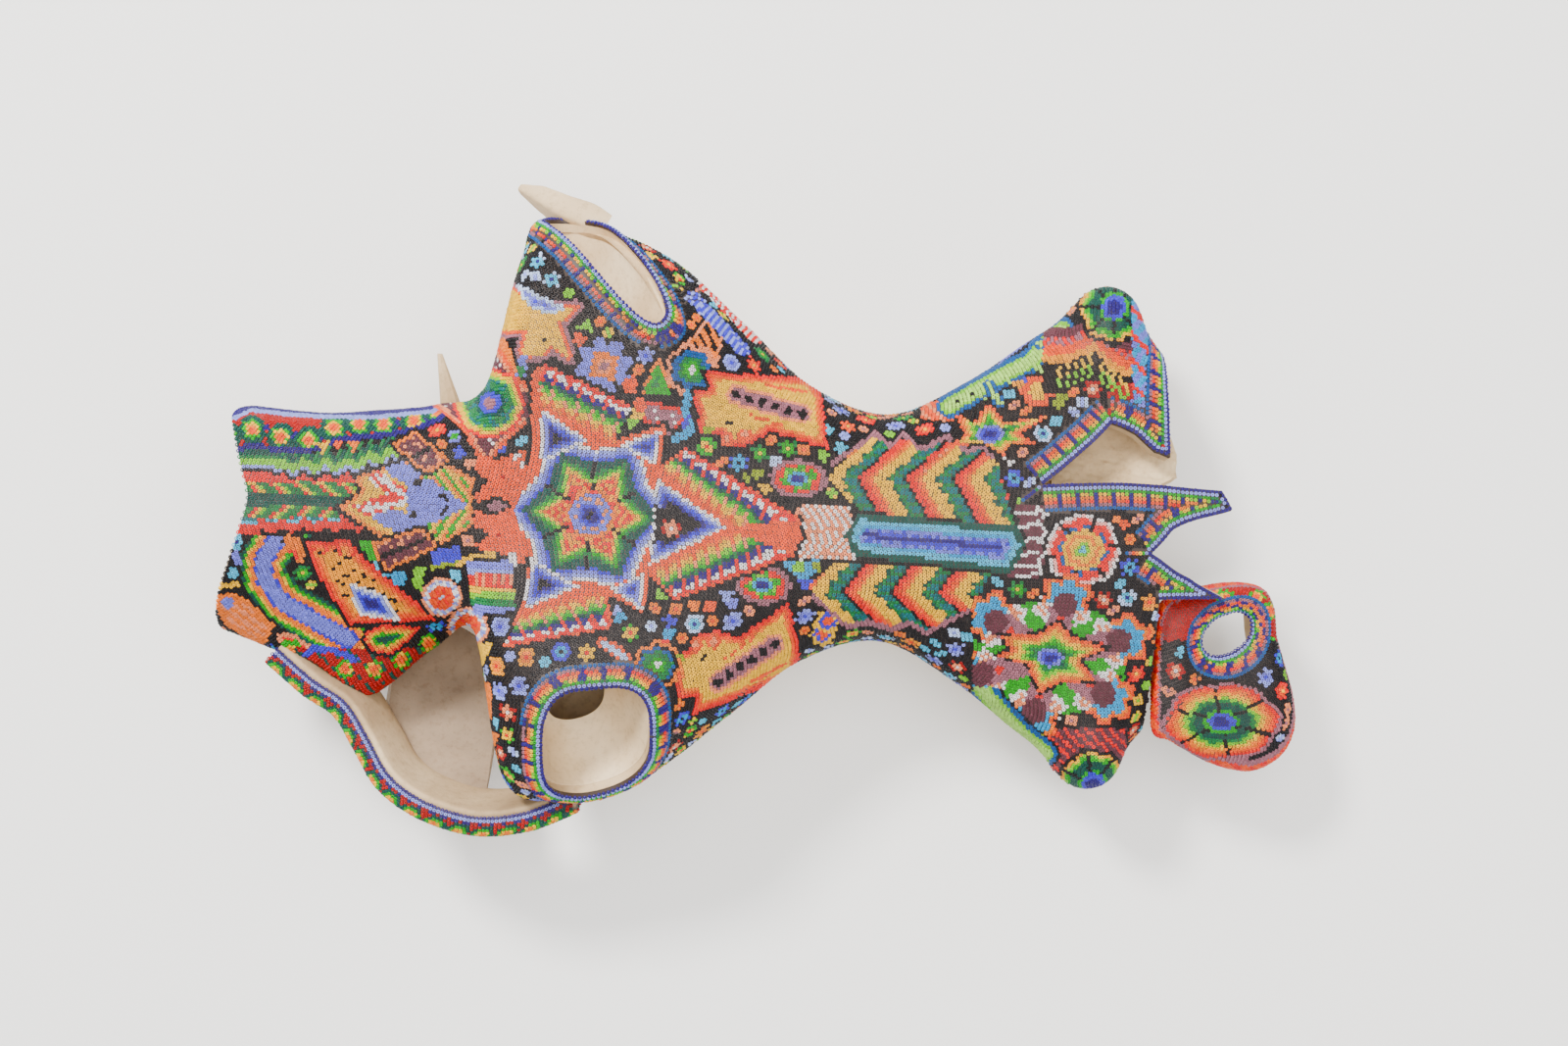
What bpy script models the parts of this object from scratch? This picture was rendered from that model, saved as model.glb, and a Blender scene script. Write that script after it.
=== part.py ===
"""A weathered hippopotamus skull without its lower jaw, its outside covered in glass beads set in wax.

The outside of the skull is one smooth skin, laid through cross-sections from the back of the head (-X)
to the snout (+X). Each bone is a shell cut from that skin, with a wax bed and a bead field lying on it.
"""

import math

import bpy
import numpy as np

for existing in list(bpy.data.objects):
    bpy.data.objects.remove(existing)

# Overall proportions, as multiples of the skull's own size.
LENGTH = 1.0
WIDTH = 1.0
HEIGHT = 1.0

# Layers, from the skin inwards, in metres.
BEADS = 0.0016  # a field of beads lying side by side
WAX = 0.0012
BONE = 0.0045
GAP = 0.0003  # clearance between pieces that touch
SEAM = 0.0003  # how far each piece is drawn back from a seam in the skin

# Cross-sections: distance along the skull, then (half width, height) from the middle of the roof down one
# side to the lower edge. A second outline is given where the left side differs from the right.
SECTIONS = (
    (-0.276, ((0, 0.158), (0.018, 0.158), (0.035, 0.151), (0.051, 0.138), (0.064, 0.119),
              (0.072, 0.098), (0.069, 0.075), (0.054, 0.055)),
             ((0, 0.158), (0.013, 0.158), (0.025, 0.154), (0.036, 0.146), (0.044, 0.132),
              (0.049, 0.108), (0.050, 0.080), (0.046, 0.055))),
    (-0.252, ((0, 0.157), (0.016, 0.156), (0.032, 0.149), (0.051, 0.135), (0.070, 0.117),
              (0.088, 0.099), (0.087, 0.078), (0.060, 0.057)),
             ((0, 0.157), (0.012, 0.157), (0.024, 0.153), (0.035, 0.145), (0.043, 0.131),
              (0.047, 0.108), (0.048, 0.080), (0.044, 0.055))),
    (-0.222, ((0, 0.156), (0.016, 0.155), (0.032, 0.149), (0.052, 0.135), (0.076, 0.114),
              (0.102, 0.096), (0.099, 0.077), (0.058, 0.056)),
             ((0, 0.156), (0.013, 0.156), (0.025, 0.152), (0.036, 0.144), (0.045, 0.130),
              (0.050, 0.107), (0.050, 0.080), (0.044, 0.055))),
    (-0.188, ((0, 0.158), (0.016, 0.157), (0.032, 0.152), (0.047, 0.140), (0.062, 0.120),
              (0.076, 0.097), (0.075, 0.076), (0.050, 0.056)),
             ((0, 0.158), (0.014, 0.158), (0.028, 0.154), (0.040, 0.146), (0.050, 0.131),
              (0.055, 0.107), (0.053, 0.080), (0.045, 0.056))),
    (-0.162, ((0, 0.163), (0.018, 0.163), (0.036, 0.160), (0.050, 0.151), (0.060, 0.134),
              (0.066, 0.110), (0.062, 0.082), (0.046, 0.058)), None),
    (-0.141, ((0, 0.166), (0.024, 0.167), (0.050, 0.169), (0.078, 0.170), (0.105, 0.163),
              (0.128, 0.149), (0.142, 0.128), (0.142, 0.098)), None),
    (-0.105, ((0, 0.167), (0.028, 0.167), (0.056, 0.169), (0.084, 0.171), (0.112, 0.164),
              (0.137, 0.147), (0.151, 0.118), (0.143, 0.084)), None),
    (-0.065, ((0, 0.165), (0.026, 0.165), (0.052, 0.166), (0.078, 0.166), (0.102, 0.159),
              (0.124, 0.142), (0.137, 0.114), (0.126, 0.080)), None),
    (-0.025, ((0, 0.160), (0.022, 0.160), (0.044, 0.158), (0.064, 0.153), (0.083, 0.144),
              (0.097, 0.128), (0.105, 0.103), (0.094, 0.074)), None),
    (0.012, ((0, 0.154), (0.018, 0.153), (0.034, 0.150), (0.048, 0.144), (0.062, 0.133),
             (0.071, 0.117), (0.074, 0.094), (0.067, 0.066)), None),
    (0.055, ((0, 0.148), (0.014, 0.147), (0.028, 0.144), (0.040, 0.138), (0.050, 0.128),
             (0.058, 0.112), (0.062, 0.088), (0.060, 0.060)), None),
    (0.098, ((0, 0.142), (0.015, 0.141), (0.030, 0.137), (0.046, 0.130), (0.062, 0.120),
             (0.077, 0.106), (0.083, 0.083), (0.074, 0.056)), None),
    (0.135, ((0, 0.137), (0.018, 0.135), (0.036, 0.130), (0.056, 0.123), (0.078, 0.114),
             (0.099, 0.100), (0.110, 0.076), (0.096, 0.050)), None),
    (0.172, ((0, 0.131), (0.020, 0.129), (0.040, 0.123), (0.064, 0.116), (0.092, 0.108),
             (0.117, 0.096), (0.130, 0.073), (0.116, 0.046)), None),
    (0.196, ((0, 0.125), (0.020, 0.123), (0.040, 0.118), (0.062, 0.111), (0.085, 0.101),
             (0.104, 0.087), (0.112, 0.066), (0.102, 0.045)), None),
    (0.214, ((0, 0.120), (0.020, 0.118), (0.038, 0.113), (0.056, 0.105), (0.074, 0.095),
             (0.089, 0.081), (0.096, 0.062), (0.090, 0.045)), None),
    (0.244, ((0, 0.111), (0.020, 0.109), (0.036, 0.104), (0.052, 0.096), (0.068, 0.086),
             (0.080, 0.074), (0.086, 0.060), (0.084, 0.046)), None),
)
# How far the back edge of the first section trails behind the middle of the roof, from the middle outwards.
TRAIL_RIGHT = (0, 0.004, 0.010, 0.017, 0.022, 0.023, 0.020, 0.014)
TRAIL_LEFT = (0, 0.003, 0.007, 0.011, 0.015, 0.015, 0.012, 0.010)

EDGE = 7  # the lower edge of the skin; 0 is the middle of the roof, plus is the left side
BEAD_EDGE = 6.3  # the beads stop here, above the bare lower edge
ROOF = 2.8  # between the roof bones and the eye socket bones
BRIDGE = 1.6  # between the nose bones and the cheek bones
BACK = 4.0  # back of the forehead, counted in sections
CHEEK = 7.5  # front of the forehead
MUZZLE = 12.0  # front of the nose bridge
STEP_ALONG = 0.5
STEP_AROUND = 0.7

# Eye sockets on the skin: (section, place around, half length, half breadth, turn, squareness).
SOCKETS = {
    "right": (6.33, -4.35, 0.66, 1.15, 0.0, 3.0),
    "left": (6.12, 5.0, 0.98, 0.52, -0.62, 2.6),
}
RIM_HEIGHT = 0.0045  # the raised rim round each eye socket
KNOB = {"height": 0.011, "spread": 0.017, "along": 0.172, "out": 0.121}  # over each tusk root
SOCKET_RINGS = (0, 0.5, 0.82, 1.0)  # from the border of the socket bone to the opening
CUP_RINGS = ((1.0, 0.001), (0.82, 0.018), (0.52, 0.040))  # share of the opening, depth below it
CUP_THICK = 0.003
CUP_FIT = {"right": 1.03, "left": 0.93}  # size of each cup against its opening
CUP_SHIFT = 0.0018  # each cup sits this far towards the middle of the skull

# The nose bones end in a tongue with two points: (place around, end along), in sections.
TONGUE_FRONT = ((-1.6, 15.75), (-0.95, 15.1), (-0.35, 13.95), (0.3, 14.6), (0.9, 15.8), (1.5, 15.6))
TONGUE_WIDE = 1.5
# The left nasal opening lies between the tongue and this edge of the left cheek: (section, place around).
OPENING_EDGE = ((12.0, 1.5), (12.5, 2.25), (13.0, 2.9), (13.5, 2.7), (14.0, 2.35), (14.5, 2.3))
CHEEK_END_LEFT = 14.5
CHEEK_END_RIGHT = 14.3
CHEEK_STRIPS = 8

# Right premaxilla in plan, round its hole, in metres: the first five lie against the cheek.
PREMAXILLA = (
    (0.206, -0.104), (0.204, -0.083), (0.2035, -0.062), (0.204, -0.044), (0.208, -0.033), (0.232, -0.024),
    (0.258, -0.021), (0.270, -0.030), (0.274, -0.050), (0.281, -0.070), (0.287, -0.092), (0.283, -0.111),
    (0.266, -0.123), (0.248, -0.122), (0.231, -0.116), (0.217, -0.108),
)
FORAMEN = (0.243, -0.049, 0.015, 0.010, 0.6)  # middle, half sizes and turn of the hole through it
# Rings from the hole to the outline, then down its sides:
# share of the way, rise in front, rise by the cheek.
PREMAXILLA_RINGS = (
    (0, -0.004, -0.004), (0.14, 0.001, 0.001), (0.45, 0.003, 0.003), (0.78, 0.0, 0.001),
    (1.0, -0.014, -0.003), (1.0, -0.034, -0.020), (0.92, -0.056, -0.045),
)
PREMAXILLA_TOP = (0.104, 0.22)  # height at the cheek, and its fall per metre towards the front

# Right zygomatic arch from the braincase to the eye socket: (x, y, z) of its middle line.
ARCH = (
    (-0.268, -0.080, 0.086), (-0.248, -0.096, 0.086), (-0.229, -0.108, 0.087), (-0.216, -0.127, 0.088),
    (-0.203, -0.146, 0.089), (-0.183, -0.158, 0.091), (-0.156, -0.164, 0.094), (-0.130, -0.160, 0.097),
    (-0.106, -0.149, 0.099),
)
ARCH_TALL = 0.023  # half height of its section
ARCH_THICK = 0.0085
SQUARENESS = 0.6  # under 1 makes the section blunt
ARCH_LEAN = 0.22  # its top leans outwards, in radians
ARCH_SIDES = 12
ARCH_BARE = (6, 7, 8, 9, 10)  # the corners of the section that face the skull, with no beads
STUB = (
    (-0.106, 0.152, 0.101), (-0.115, 0.157, 0.103), (-0.126, 0.161, 0.106), (-0.139, 0.168, 0.102),
    (-0.150, 0.173, 0.097),
)
STUB_TAPER = (1.0, 1.0, 0.85, 0.6, 0.25)  # left arch, broken off short

# Floor of the right temple, between the arch and the skull: x, then (y, z) from the arch to the skull.
TEMPLE_FLOOR = (
    (-0.214, ((-0.127, 0.086), (-0.114, 0.069), (-0.100, 0.060), (-0.086, 0.053), (-0.074, 0.048))),
    (-0.200, ((-0.147, 0.088), (-0.130, 0.066), (-0.108, 0.056), (-0.088, 0.049), (-0.068, 0.045))),
    (-0.183, ((-0.157, 0.090), (-0.136, 0.066), (-0.112, 0.054), (-0.088, 0.048), (-0.066, 0.046))),
    (-0.168, ((-0.161, 0.092), (-0.142, 0.068), (-0.118, 0.056), (-0.094, 0.051), (-0.074, 0.050))),
    (-0.156, ((-0.163, 0.093), (-0.146, 0.072), (-0.124, 0.060), (-0.102, 0.056), (-0.086, 0.056))),
)

# Underside: across one half, as shares of the half width between the lower edges, with the height.
BELLY = ((1.0, None), (0.86, 0.058), (0.66, 0.047), (0.4, 0.046), (0.0, 0.052))
BELLY_THICK = 0.005
BELLY_DROP = 0.0018  # its border lies this far under the lower edge
BELLY_ENDS = (0.5, 5.0, 13.5)  # back of the skull base, front of it, front of the palate, in sections

FORAMEN_MAGNUM = (-0.266, 0.088, 0.017)  # x, height and radius of the hole for the spinal cord
CONDYLE = (-0.281, 0.023, 0.069, 0.017, 0.013, 0.018)  # middle and half sizes
PTERYGOID = ((-0.138, 0.036, 0.049, 0.0085), (-0.148, 0.037, 0.022, 0.0065), (-0.156, 0.039, 0.0, 0.005))
SPIKE = ((-0.186, 0.034, 0.044, 0.010), (-0.192, 0.058, 0.036, 0.006), (-0.198, 0.086, 0.046, 0.0015))

# Cheek teeth of one side, back to front: (x, y, length, breadth).
TEETH = (
    (-0.070, 0.047, 0.034, 0.028), (-0.034, 0.046, 0.034, 0.028), (0.000, 0.044, 0.030, 0.026),
    (0.030, 0.043, 0.026, 0.022), (0.056, 0.043, 0.022, 0.018),
)
TOOTH_TOP = 0.050  # the roots end in the palate bone, below this
TOOTH_RINGS = ((0.92, 0.0), (1.0, 0.0025), (1.0, 0.02), (0.86, 0.034), (0.8, 1.0))

# Torn bone inside the left nasal opening: (x, then (y, z) from the midline outwards).
TORN = (
    (0.142, ((0.026, 0.108), (0.036, 0.101), (0.046, 0.098), (0.064, 0.110))),
    (0.158, ((0.024, 0.103), (0.036, 0.096), (0.052, 0.094), (0.078, 0.108))),
    (0.174, ((0.023, 0.099), (0.036, 0.092), (0.056, 0.090), (0.082, 0.105))),
    (0.190, ((0.026, 0.096), (0.036, 0.090), (0.052, 0.088), (0.076, 0.101))),
    (0.202, ((0.030, 0.095), (0.037, 0.091), (0.047, 0.090), (0.062, 0.098))),
    (0.211, ((0.036, 0.094), (0.039, 0.092), (0.043, 0.092), (0.047, 0.093))),
)
TORN_THICK = 0.003


def skin_grid():
    rows = []
    for place, (along, right, left) in enumerate(SECTIONS):
        left = left or right
        behind = (TRAIL_RIGHT, TRAIL_LEFT) if place == 0 else ((0,) * 8, (0,) * 8)
        row = [(along - behind[0][k], -right[k][0], right[k][1]) for k in range(EDGE, 0, -1)]
        row += [(along - behind[1][k], left[k][0], left[k][1]) for k in range(EDGE + 1)]
        rows.append(row)
    return np.array(rows) * (LENGTH, WIDTH, HEIGHT)


GRID = skin_grid()


def spline_weights(place, count):
    first = np.clip(np.floor(place).astype(int), 0, count - 2)
    f = place - first
    weights = 0.5 * np.stack(
        [-(f**3) + 2 * f**2 - f, 3 * f**3 - 5 * f**2 + 2, -3 * f**3 + 4 * f**2 + f, f**3 - f**2], -1
    )
    return np.clip(first[..., None] + np.arange(-1, 3), 0, count - 1), weights


def socket_distance(side, along, around):
    """1 on the edge of the eye socket, more outside it."""
    mid_along, mid_around, long, broad, turn, square = SOCKETS[side]
    a, b = along - mid_along, (around - mid_around) / 2
    a, b = a * math.cos(turn) + b * math.sin(turn), b * math.cos(turn) - a * math.sin(turn)
    return (np.abs(a / long) ** square + np.abs(2 * b / broad) ** square) ** (1 / square)


def bare_skin(along, around):
    rows, along_weights = spline_weights(along, len(GRID))
    columns, around_weights = spline_weights(around + EDGE, 2 * EDGE + 1)
    near = GRID[rows[..., :, None], columns[..., None, :]]
    return np.einsum("...ab,...a,...b->...", np.moveaxis(near, -1, 0), along_weights, around_weights)


def normals_of(surface, along, around):
    step = 0.02
    d_along = surface(along + step, around) - surface(along - step, around)
    d_around = surface(along, around + step) - surface(along, around - step)
    across = np.cross(np.moveaxis(d_along, 0, -1), np.moveaxis(d_around, 0, -1))
    return across / np.linalg.norm(across, axis=-1, keepdims=True)


def skin(along, around):
    """Points of the beaded outside, with the raised eye socket rims and the knobs over the tusk roots."""
    points = bare_skin(along, around)
    normals = np.moveaxis(normals_of(bare_skin, along, around), -1, 0)
    rim = sum(
        np.exp(-(((socket_distance(side, along, around) - 1.12) / 0.3) ** 2)) * (around * mid[1] > 0)
        for side, mid in SOCKETS.items()
    )
    off_knob = np.hypot(points[0] / LENGTH - KNOB["along"], np.abs(points[1]) / WIDTH - KNOB["out"])
    knob = np.exp(-((off_knob / KNOB["spread"]) ** 2)) * (points[2] > 0.07 * HEIGHT)
    return points + normals * (RIM_HEIGHT * rim + KNOB["height"] * knob)


def skin_layers(along, around):
    """Points and outward normals of the skin at a grid of places."""
    points = np.moveaxis(skin(along, around), 0, -1)
    return points, normals_of(skin, along, around)


def material(name, colour, roughness):
    made = bpy.data.materials.new(name)
    made.use_nodes = True
    shader = made.node_tree.nodes["Principled BSDF"]
    shader.inputs["Base Color"].default_value = (*colour, 1)
    shader.inputs["Roughness"].default_value = roughness
    return made


def make_object(name, points, faces, stuff, smooth=True):
    corners = np.asarray(points)[np.asarray(faces)]
    if np.linalg.det(corners - corners.mean(axis=(0, 1))).sum() < 0:
        faces = [face[::-1] for face in faces]
    mesh = bpy.data.meshes.new(name)
    mesh.from_pydata([tuple(p) for p in points], [], [tuple(int(i) for i in f) for f in faces])
    mesh.materials.append(stuff)
    made = bpy.data.objects.new(name, mesh)
    bpy.context.scene.collection.objects.link(made)
    if smooth:
        mesh.shade_smooth()
        mesh.set_sharp_from_angle(angle=math.radians(50))
    return made


def two_triangles(a, b, c, d):
    return [(a, b, c), (a, c, d)]


def closed_faces(rows, columns, ring):
    """Triangles of a closed solid whose outer sheet is followed by its inner sheet, both rows x columns."""
    faces = []
    inner = rows * columns
    spans = columns if ring else columns - 1
    for r in range(rows - 1):
        for c in range(spans):
            a, b = r * columns + c, r * columns + (c + 1) % columns
            d, e = a + columns, b + columns
            faces += two_triangles(a, d, e, b)
            faces += [tuple(inner + i for i in reversed(face)) for face in two_triangles(a, d, e, b)]
    for c in range(spans):
        a, b = c, (c + 1) % columns
        faces += two_triangles(a, b, inner + b, inner + a)
        a, b = (rows - 1) * columns + b, (rows - 1) * columns + a
        faces += two_triangles(a, b, inner + b, inner + a)
    if not ring:
        for r in range(rows - 1):
            a, b = (r + 1) * columns, r * columns
            faces += two_triangles(a, b, inner + b, inner + a)
            a, b = r * columns + columns - 1, (r + 1) * columns + columns - 1
            faces += two_triangles(a, b, inner + b, inner + a)
    return faces


def as_helper(shape):
    """Marks an object as a shape that only fits other pieces."""
    shape.hide_render = True
    shape.display_type = "WIRE"
    return shape


def combine(target, helper, operation):
    as_helper(helper)
    boolean = target.modifiers.new(operation.lower(), "BOOLEAN")
    boolean.operation = operation
    boolean.solver = "EXACT"
    boolean.object = helper


def cut(target, helper):
    combine(target, helper, "DIFFERENCE")


def join(target, helper):
    combine(target, helper, "UNION")


def shell(name, points, normals, outer, inner, stuff, ring=False):
    """A closed sheet between two depths under a surface of rows x columns points."""
    rows, columns = points.shape[:2]
    sheets = [(points - normals * depth).reshape(-1, 3) for depth in (outer, inner)]
    return make_object(name, np.concatenate(sheets), closed_faces(rows, columns, ring), stuff)


def stations(start, end, step):
    """Places on the common grid between two bounds."""
    return np.linspace(start, end, max(1, round(abs(end - start) / step)) + 1)


def drawn_in(points, edge, neighbour):
    """Moves one border of a sheet towards the row beside it, to leave a seam."""
    way = points[neighbour] - points[edge]
    points[edge] += way * (SEAM / np.linalg.norm(way, axis=-1, keepdims=True))


BONE_STUFF = material("weathered_bone", (0.78, 0.70, 0.58), 0.75)
WAX_STUFF = material("bees_wax", (0.16, 0.09, 0.05), 0.6)
BEAD_STUFF = material("glass_beads", (0.62, 0.16, 0.06), 0.25)

DEPTHS = {
    "beads": (0.0, BEADS, BEAD_STUFF),
    "wax": (BEADS + GAP, BEADS + GAP + WAX, WAX_STUFF),
    "bone": (BEADS + WAX + 2 * GAP, BEADS + WAX + 2 * GAP + BONE, BONE_STUFF),
}


def layer(kind, name, along, around, ring=False):
    outer, inner, stuff = DEPTHS[kind]
    points, normals = skin_layers(along, around)
    drawn_in(points, 0, 1)
    drawn_in(points, -1, -2)
    if not ring:
        drawn_in(points, (slice(None), 0), (slice(None), 1))
        drawn_in(points, (slice(None), -1), (slice(None), -2))
    return shell(name, points, normals, outer, inner, stuff, ring)


def patch(kind, name, along_range, around_range):
    along = stations(*along_range, STEP_ALONG)
    around = stations(*around_range, STEP_AROUND)
    return layer(kind, name, *np.meshgrid(along, around, indexing="ij"))


def both_layers(name, along_range, around_range):
    patch("wax", "wax_" + name, along_range, around_range)
    patch("beads", "beads_" + name, along_range, around_range)


# Braincase, forehead and nose bridge
patch("bone", "bone_braincase", (0, BACK), (-EDGE, EDGE))
both_layers("braincase", (0, BACK), (-BEAD_EDGE, BEAD_EDGE))
patch("bone", "bone_forehead", (BACK, CHEEK), (-ROOF, ROOF))
both_layers("forehead", (BACK, CHEEK), (-ROOF, ROOF))


def socket_places(side):
    """A grid of places from the outer border of an eye socket region, ring by ring, to the socket."""
    sign = 1 if side == "left" else -1
    along = stations(BACK, CHEEK, STEP_ALONG)
    around = stations(ROOF, EDGE, STEP_AROUND) * sign
    border = [(a, around[0]) for a in along[:-1]] + [(CHEEK, b) for b in around[:-1]]
    border += [(a, around[-1]) for a in along[:0:-1]] + [(BACK, b) for b in around[:0:-1]]
    if sign < 0:
        border.reverse()
    mid_along, mid_around, long, broad, turn, square = SOCKETS[side]
    border = np.array(border)
    rings = []
    away = np.array([(a - mid_along, b - mid_around) for a, b in border])
    reach = socket_distance(side, border[:, 0], border[:, 1])
    opening = np.array([mid_along, mid_around]) + away / reach[:, None]
    for share in SOCKET_RINGS:
        rings.append(border * (1 - share) + opening * share)
    return np.moveaxis(np.array(rings), -1, 0)


def eye_socket(side):
    along, around = socket_places(side)
    layer("bone", "bone_eye_socket_" + side, along, around, ring=True)
    layer("wax", "wax_eye_socket_" + side, along, around, ring=True)
    layer("beads", "beads_eye_socket_" + side, along, around, ring=True)
    points, normals = skin_layers(along, around)
    rim = points[-1] - normals[-1] * (DEPTHS["bone"][1] + GAP)
    centre = rim.mean(axis=0)
    down = -normals[-1].mean(axis=0)
    down /= np.linalg.norm(down)
    fit = CUP_FIT[side]
    rows = np.array([centre + (rim - centre) * share * fit + down * depth for share, depth in CUP_RINGS])
    rows[..., 1] -= np.sign(centre[1]) * CUP_SHIFT
    inward = centre - rows
    inward -= (inward @ down)[..., None] * down
    inward /= np.linalg.norm(inward, axis=-1, keepdims=True)
    cup = shell("bone_eye_cup_" + side, rows, inward, 0, -CUP_THICK, BONE_STUFF, ring=True)
    points, normals = skin_layers(along, around)
    outer, inner = DEPTHS["bone"][0], DEPTHS["bone"][1] + 1.6 * GAP
    cut(cup, shell("cup_clearance", points, normals, outer, inner, BONE_STUFF, ring=True))


for side in SOCKETS:
    eye_socket(side)


def tongue_places():
    """A grid over the forked front of the nose bones."""
    around = stations(-BRIDGE, TONGUE_WIDE, STEP_AROUND / 1.4)
    ends = np.interp(around, *zip(*TONGUE_FRONT))
    shares = stations(0, 1, 1 / 7)[:, None]
    along = MUZZLE + shares * (ends - MUZZLE)
    return along, np.broadcast_to(around, along.shape).copy()


both_layers("nose_bridge", (CHEEK, MUZZLE), (-BRIDGE, TONGUE_WIDE))
patch("bone", "bone_nose_bridge", (CHEEK, MUZZLE), (-BRIDGE, TONGUE_WIDE))
for kind in DEPTHS:
    layer(kind, kind + "_nasal_tongue", *tongue_places())


def cheek_places(side, sections):
    """A grid down one side of the snout, from the nose bones or the nasal opening to the lower edge."""
    sign = 1 if side == "left" else -1
    inner = np.full(len(sections), TONGUE_WIDE if side == "left" else BRIDGE)
    if side == "left":
        inner = np.interp(sections, *zip(*OPENING_EDGE))
    shares = np.linspace(0, 1, CHEEK_STRIPS + 1)
    around = sign * (inner[:, None] * (1 - shares) + EDGE * shares)
    return np.broadcast_to(sections[:, None], around.shape).copy(), around


for side, front in (("right", CHEEK_END_RIGHT), ("left", CHEEK_END_LEFT)):
    for kind in DEPTHS:
        kept = slice(None) if kind == "bone" else slice(-1)
        for part, start, stop in (("flank", CHEEK, MUZZLE), ("cheek", MUZZLE, front)):
            along, around = cheek_places(side, stations(start, stop, STEP_ALONG))
            layer(kind, f"{kind}_{part}_{side}", along[:, kept], around[:, kept])


def closed_spline(points, count):
    points = np.array(points)
    places = np.arange(count) * len(points) / count
    first = np.floor(places).astype(int)
    _, weights = spline_weights(places - first, 4)
    near = points[(first[:, None] + np.arange(-1, 3)) % len(points)]
    return np.einsum("nak,na->nk", near, weights)


def premaxilla_surface(count=20):
    outline = closed_spline(PREMAXILLA, count) * (LENGTH, WIDTH)
    x, y, long, broad, turn = FORAMEN
    middle = np.array((x * LENGTH, y * WIDTH))
    bearing = np.arctan2(*(outline - middle).T[::-1]) - turn
    hole = np.stack([long * np.cos(bearing), broad * np.sin(bearing)], -1)
    hole = middle + hole @ np.array([[math.cos(turn), math.sin(turn)], [-math.sin(turn), math.cos(turn)]])
    top, fall = PREMAXILLA_TOP
    rows = []
    for share, front, back in PREMAXILLA_RINGS:
        plan = hole * (1 - share) + outline * share
        free = np.clip((plan[:, 0] / LENGTH - 0.203) / 0.03, 0, 1)
        height = top - fall * (plan[:, 0] / LENGTH - 0.203) + front * free + back * (1 - free)
        rows.append(np.column_stack([plan, height * HEIGHT]))
    return np.array(rows)


def sheet_normals(points, ring):
    around = np.roll(points, -1, 1) - np.roll(points, 1, 1) if ring else np.gradient(points, axis=1)
    normals = np.cross(np.gradient(points, axis=0), around)
    return normals / np.linalg.norm(normals, axis=-1, keepdims=True)


def arch_surface(path, tall, thick, taper=None):
    """Rings of a flattened bar along a path, each with its normals."""
    path = np.array(path) * (LENGTH, WIDTH, HEIGHT)
    way = np.gradient(path, axis=0)
    way /= np.linalg.norm(way, axis=1, keepdims=True)
    side = np.cross(way, (0, 0, 1.0))
    side /= np.linalg.norm(side, axis=1, keepdims=True)
    up = np.cross(side, way)
    angles = np.arange(ARCH_SIDES) * 2 * math.pi / ARCH_SIDES
    lean = ARCH_LEAN
    rings = []
    for angle in angles:
        a = tall * np.sign(math.cos(angle)) * abs(math.cos(angle)) ** SQUARENESS
        b = thick * np.sign(math.sin(angle)) * abs(math.sin(angle)) ** SQUARENESS
        a = a * (1 if taper is None else np.array(taper)[:, None])
        b = b * (1 if taper is None else np.array(taper)[:, None])
        rise, reach = a * math.cos(lean) - b * math.sin(lean), a * math.sin(lean) + b * math.cos(lean)
        rings.append(path + up * rise + side * reach)
    return np.moveaxis(np.array(rings), 0, 1)


def capped_tube(name, rings, stuff, hidden=False):
    """A solid bar through rings of points, with a fan of triangles closing each end."""
    count, sides = rings.shape[:2]
    faces = []
    for r in range(count - 1):
        for c in range(sides):
            a, b = r * sides + c, r * sides + (c + 1) % sides
            faces += two_triangles(a, a + sides, b + sides, b)
    first, last = count * sides, count * sides + 1
    for c in range(sides):
        following = (c + 1) % sides
        faces.append((first, c, following))
        faces.append((last, (count - 1) * sides + following, (count - 1) * sides + c))
    points = np.concatenate([rings.reshape(-1, 3), [rings[0].mean(axis=0), rings[-1].mean(axis=0)]])
    made = make_object(name, points, faces, stuff)
    return as_helper(made) if hidden else made


def grown(name, along, around, ring=False, deep=0.014):
    """A helper a little larger than the bone under a sheet, to cut pieces that grow out of it."""
    points, normals = skin_layers(along, around)
    depth = DEPTHS["bone"][0]
    return as_helper(shell(name, points, normals, depth - GAP, depth + deep, BONE_STUFF, ring))


premaxilla = premaxilla_surface()
premaxilla_normals = sheet_normals(premaxilla, ring=True)
if premaxilla_normals[2, :, 2].mean() < 0:
    premaxilla_normals = -premaxilla_normals
for kind, (outer, inner, stuff) in DEPTHS.items():
    rows = slice(None) if kind == "bone" else slice(-1)
    outer += GAP if kind == "bone" else 0
    shell(kind + "_premaxilla_right", premaxilla[rows], premaxilla_normals[rows], outer, inner, stuff,
          ring=True)


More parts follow.
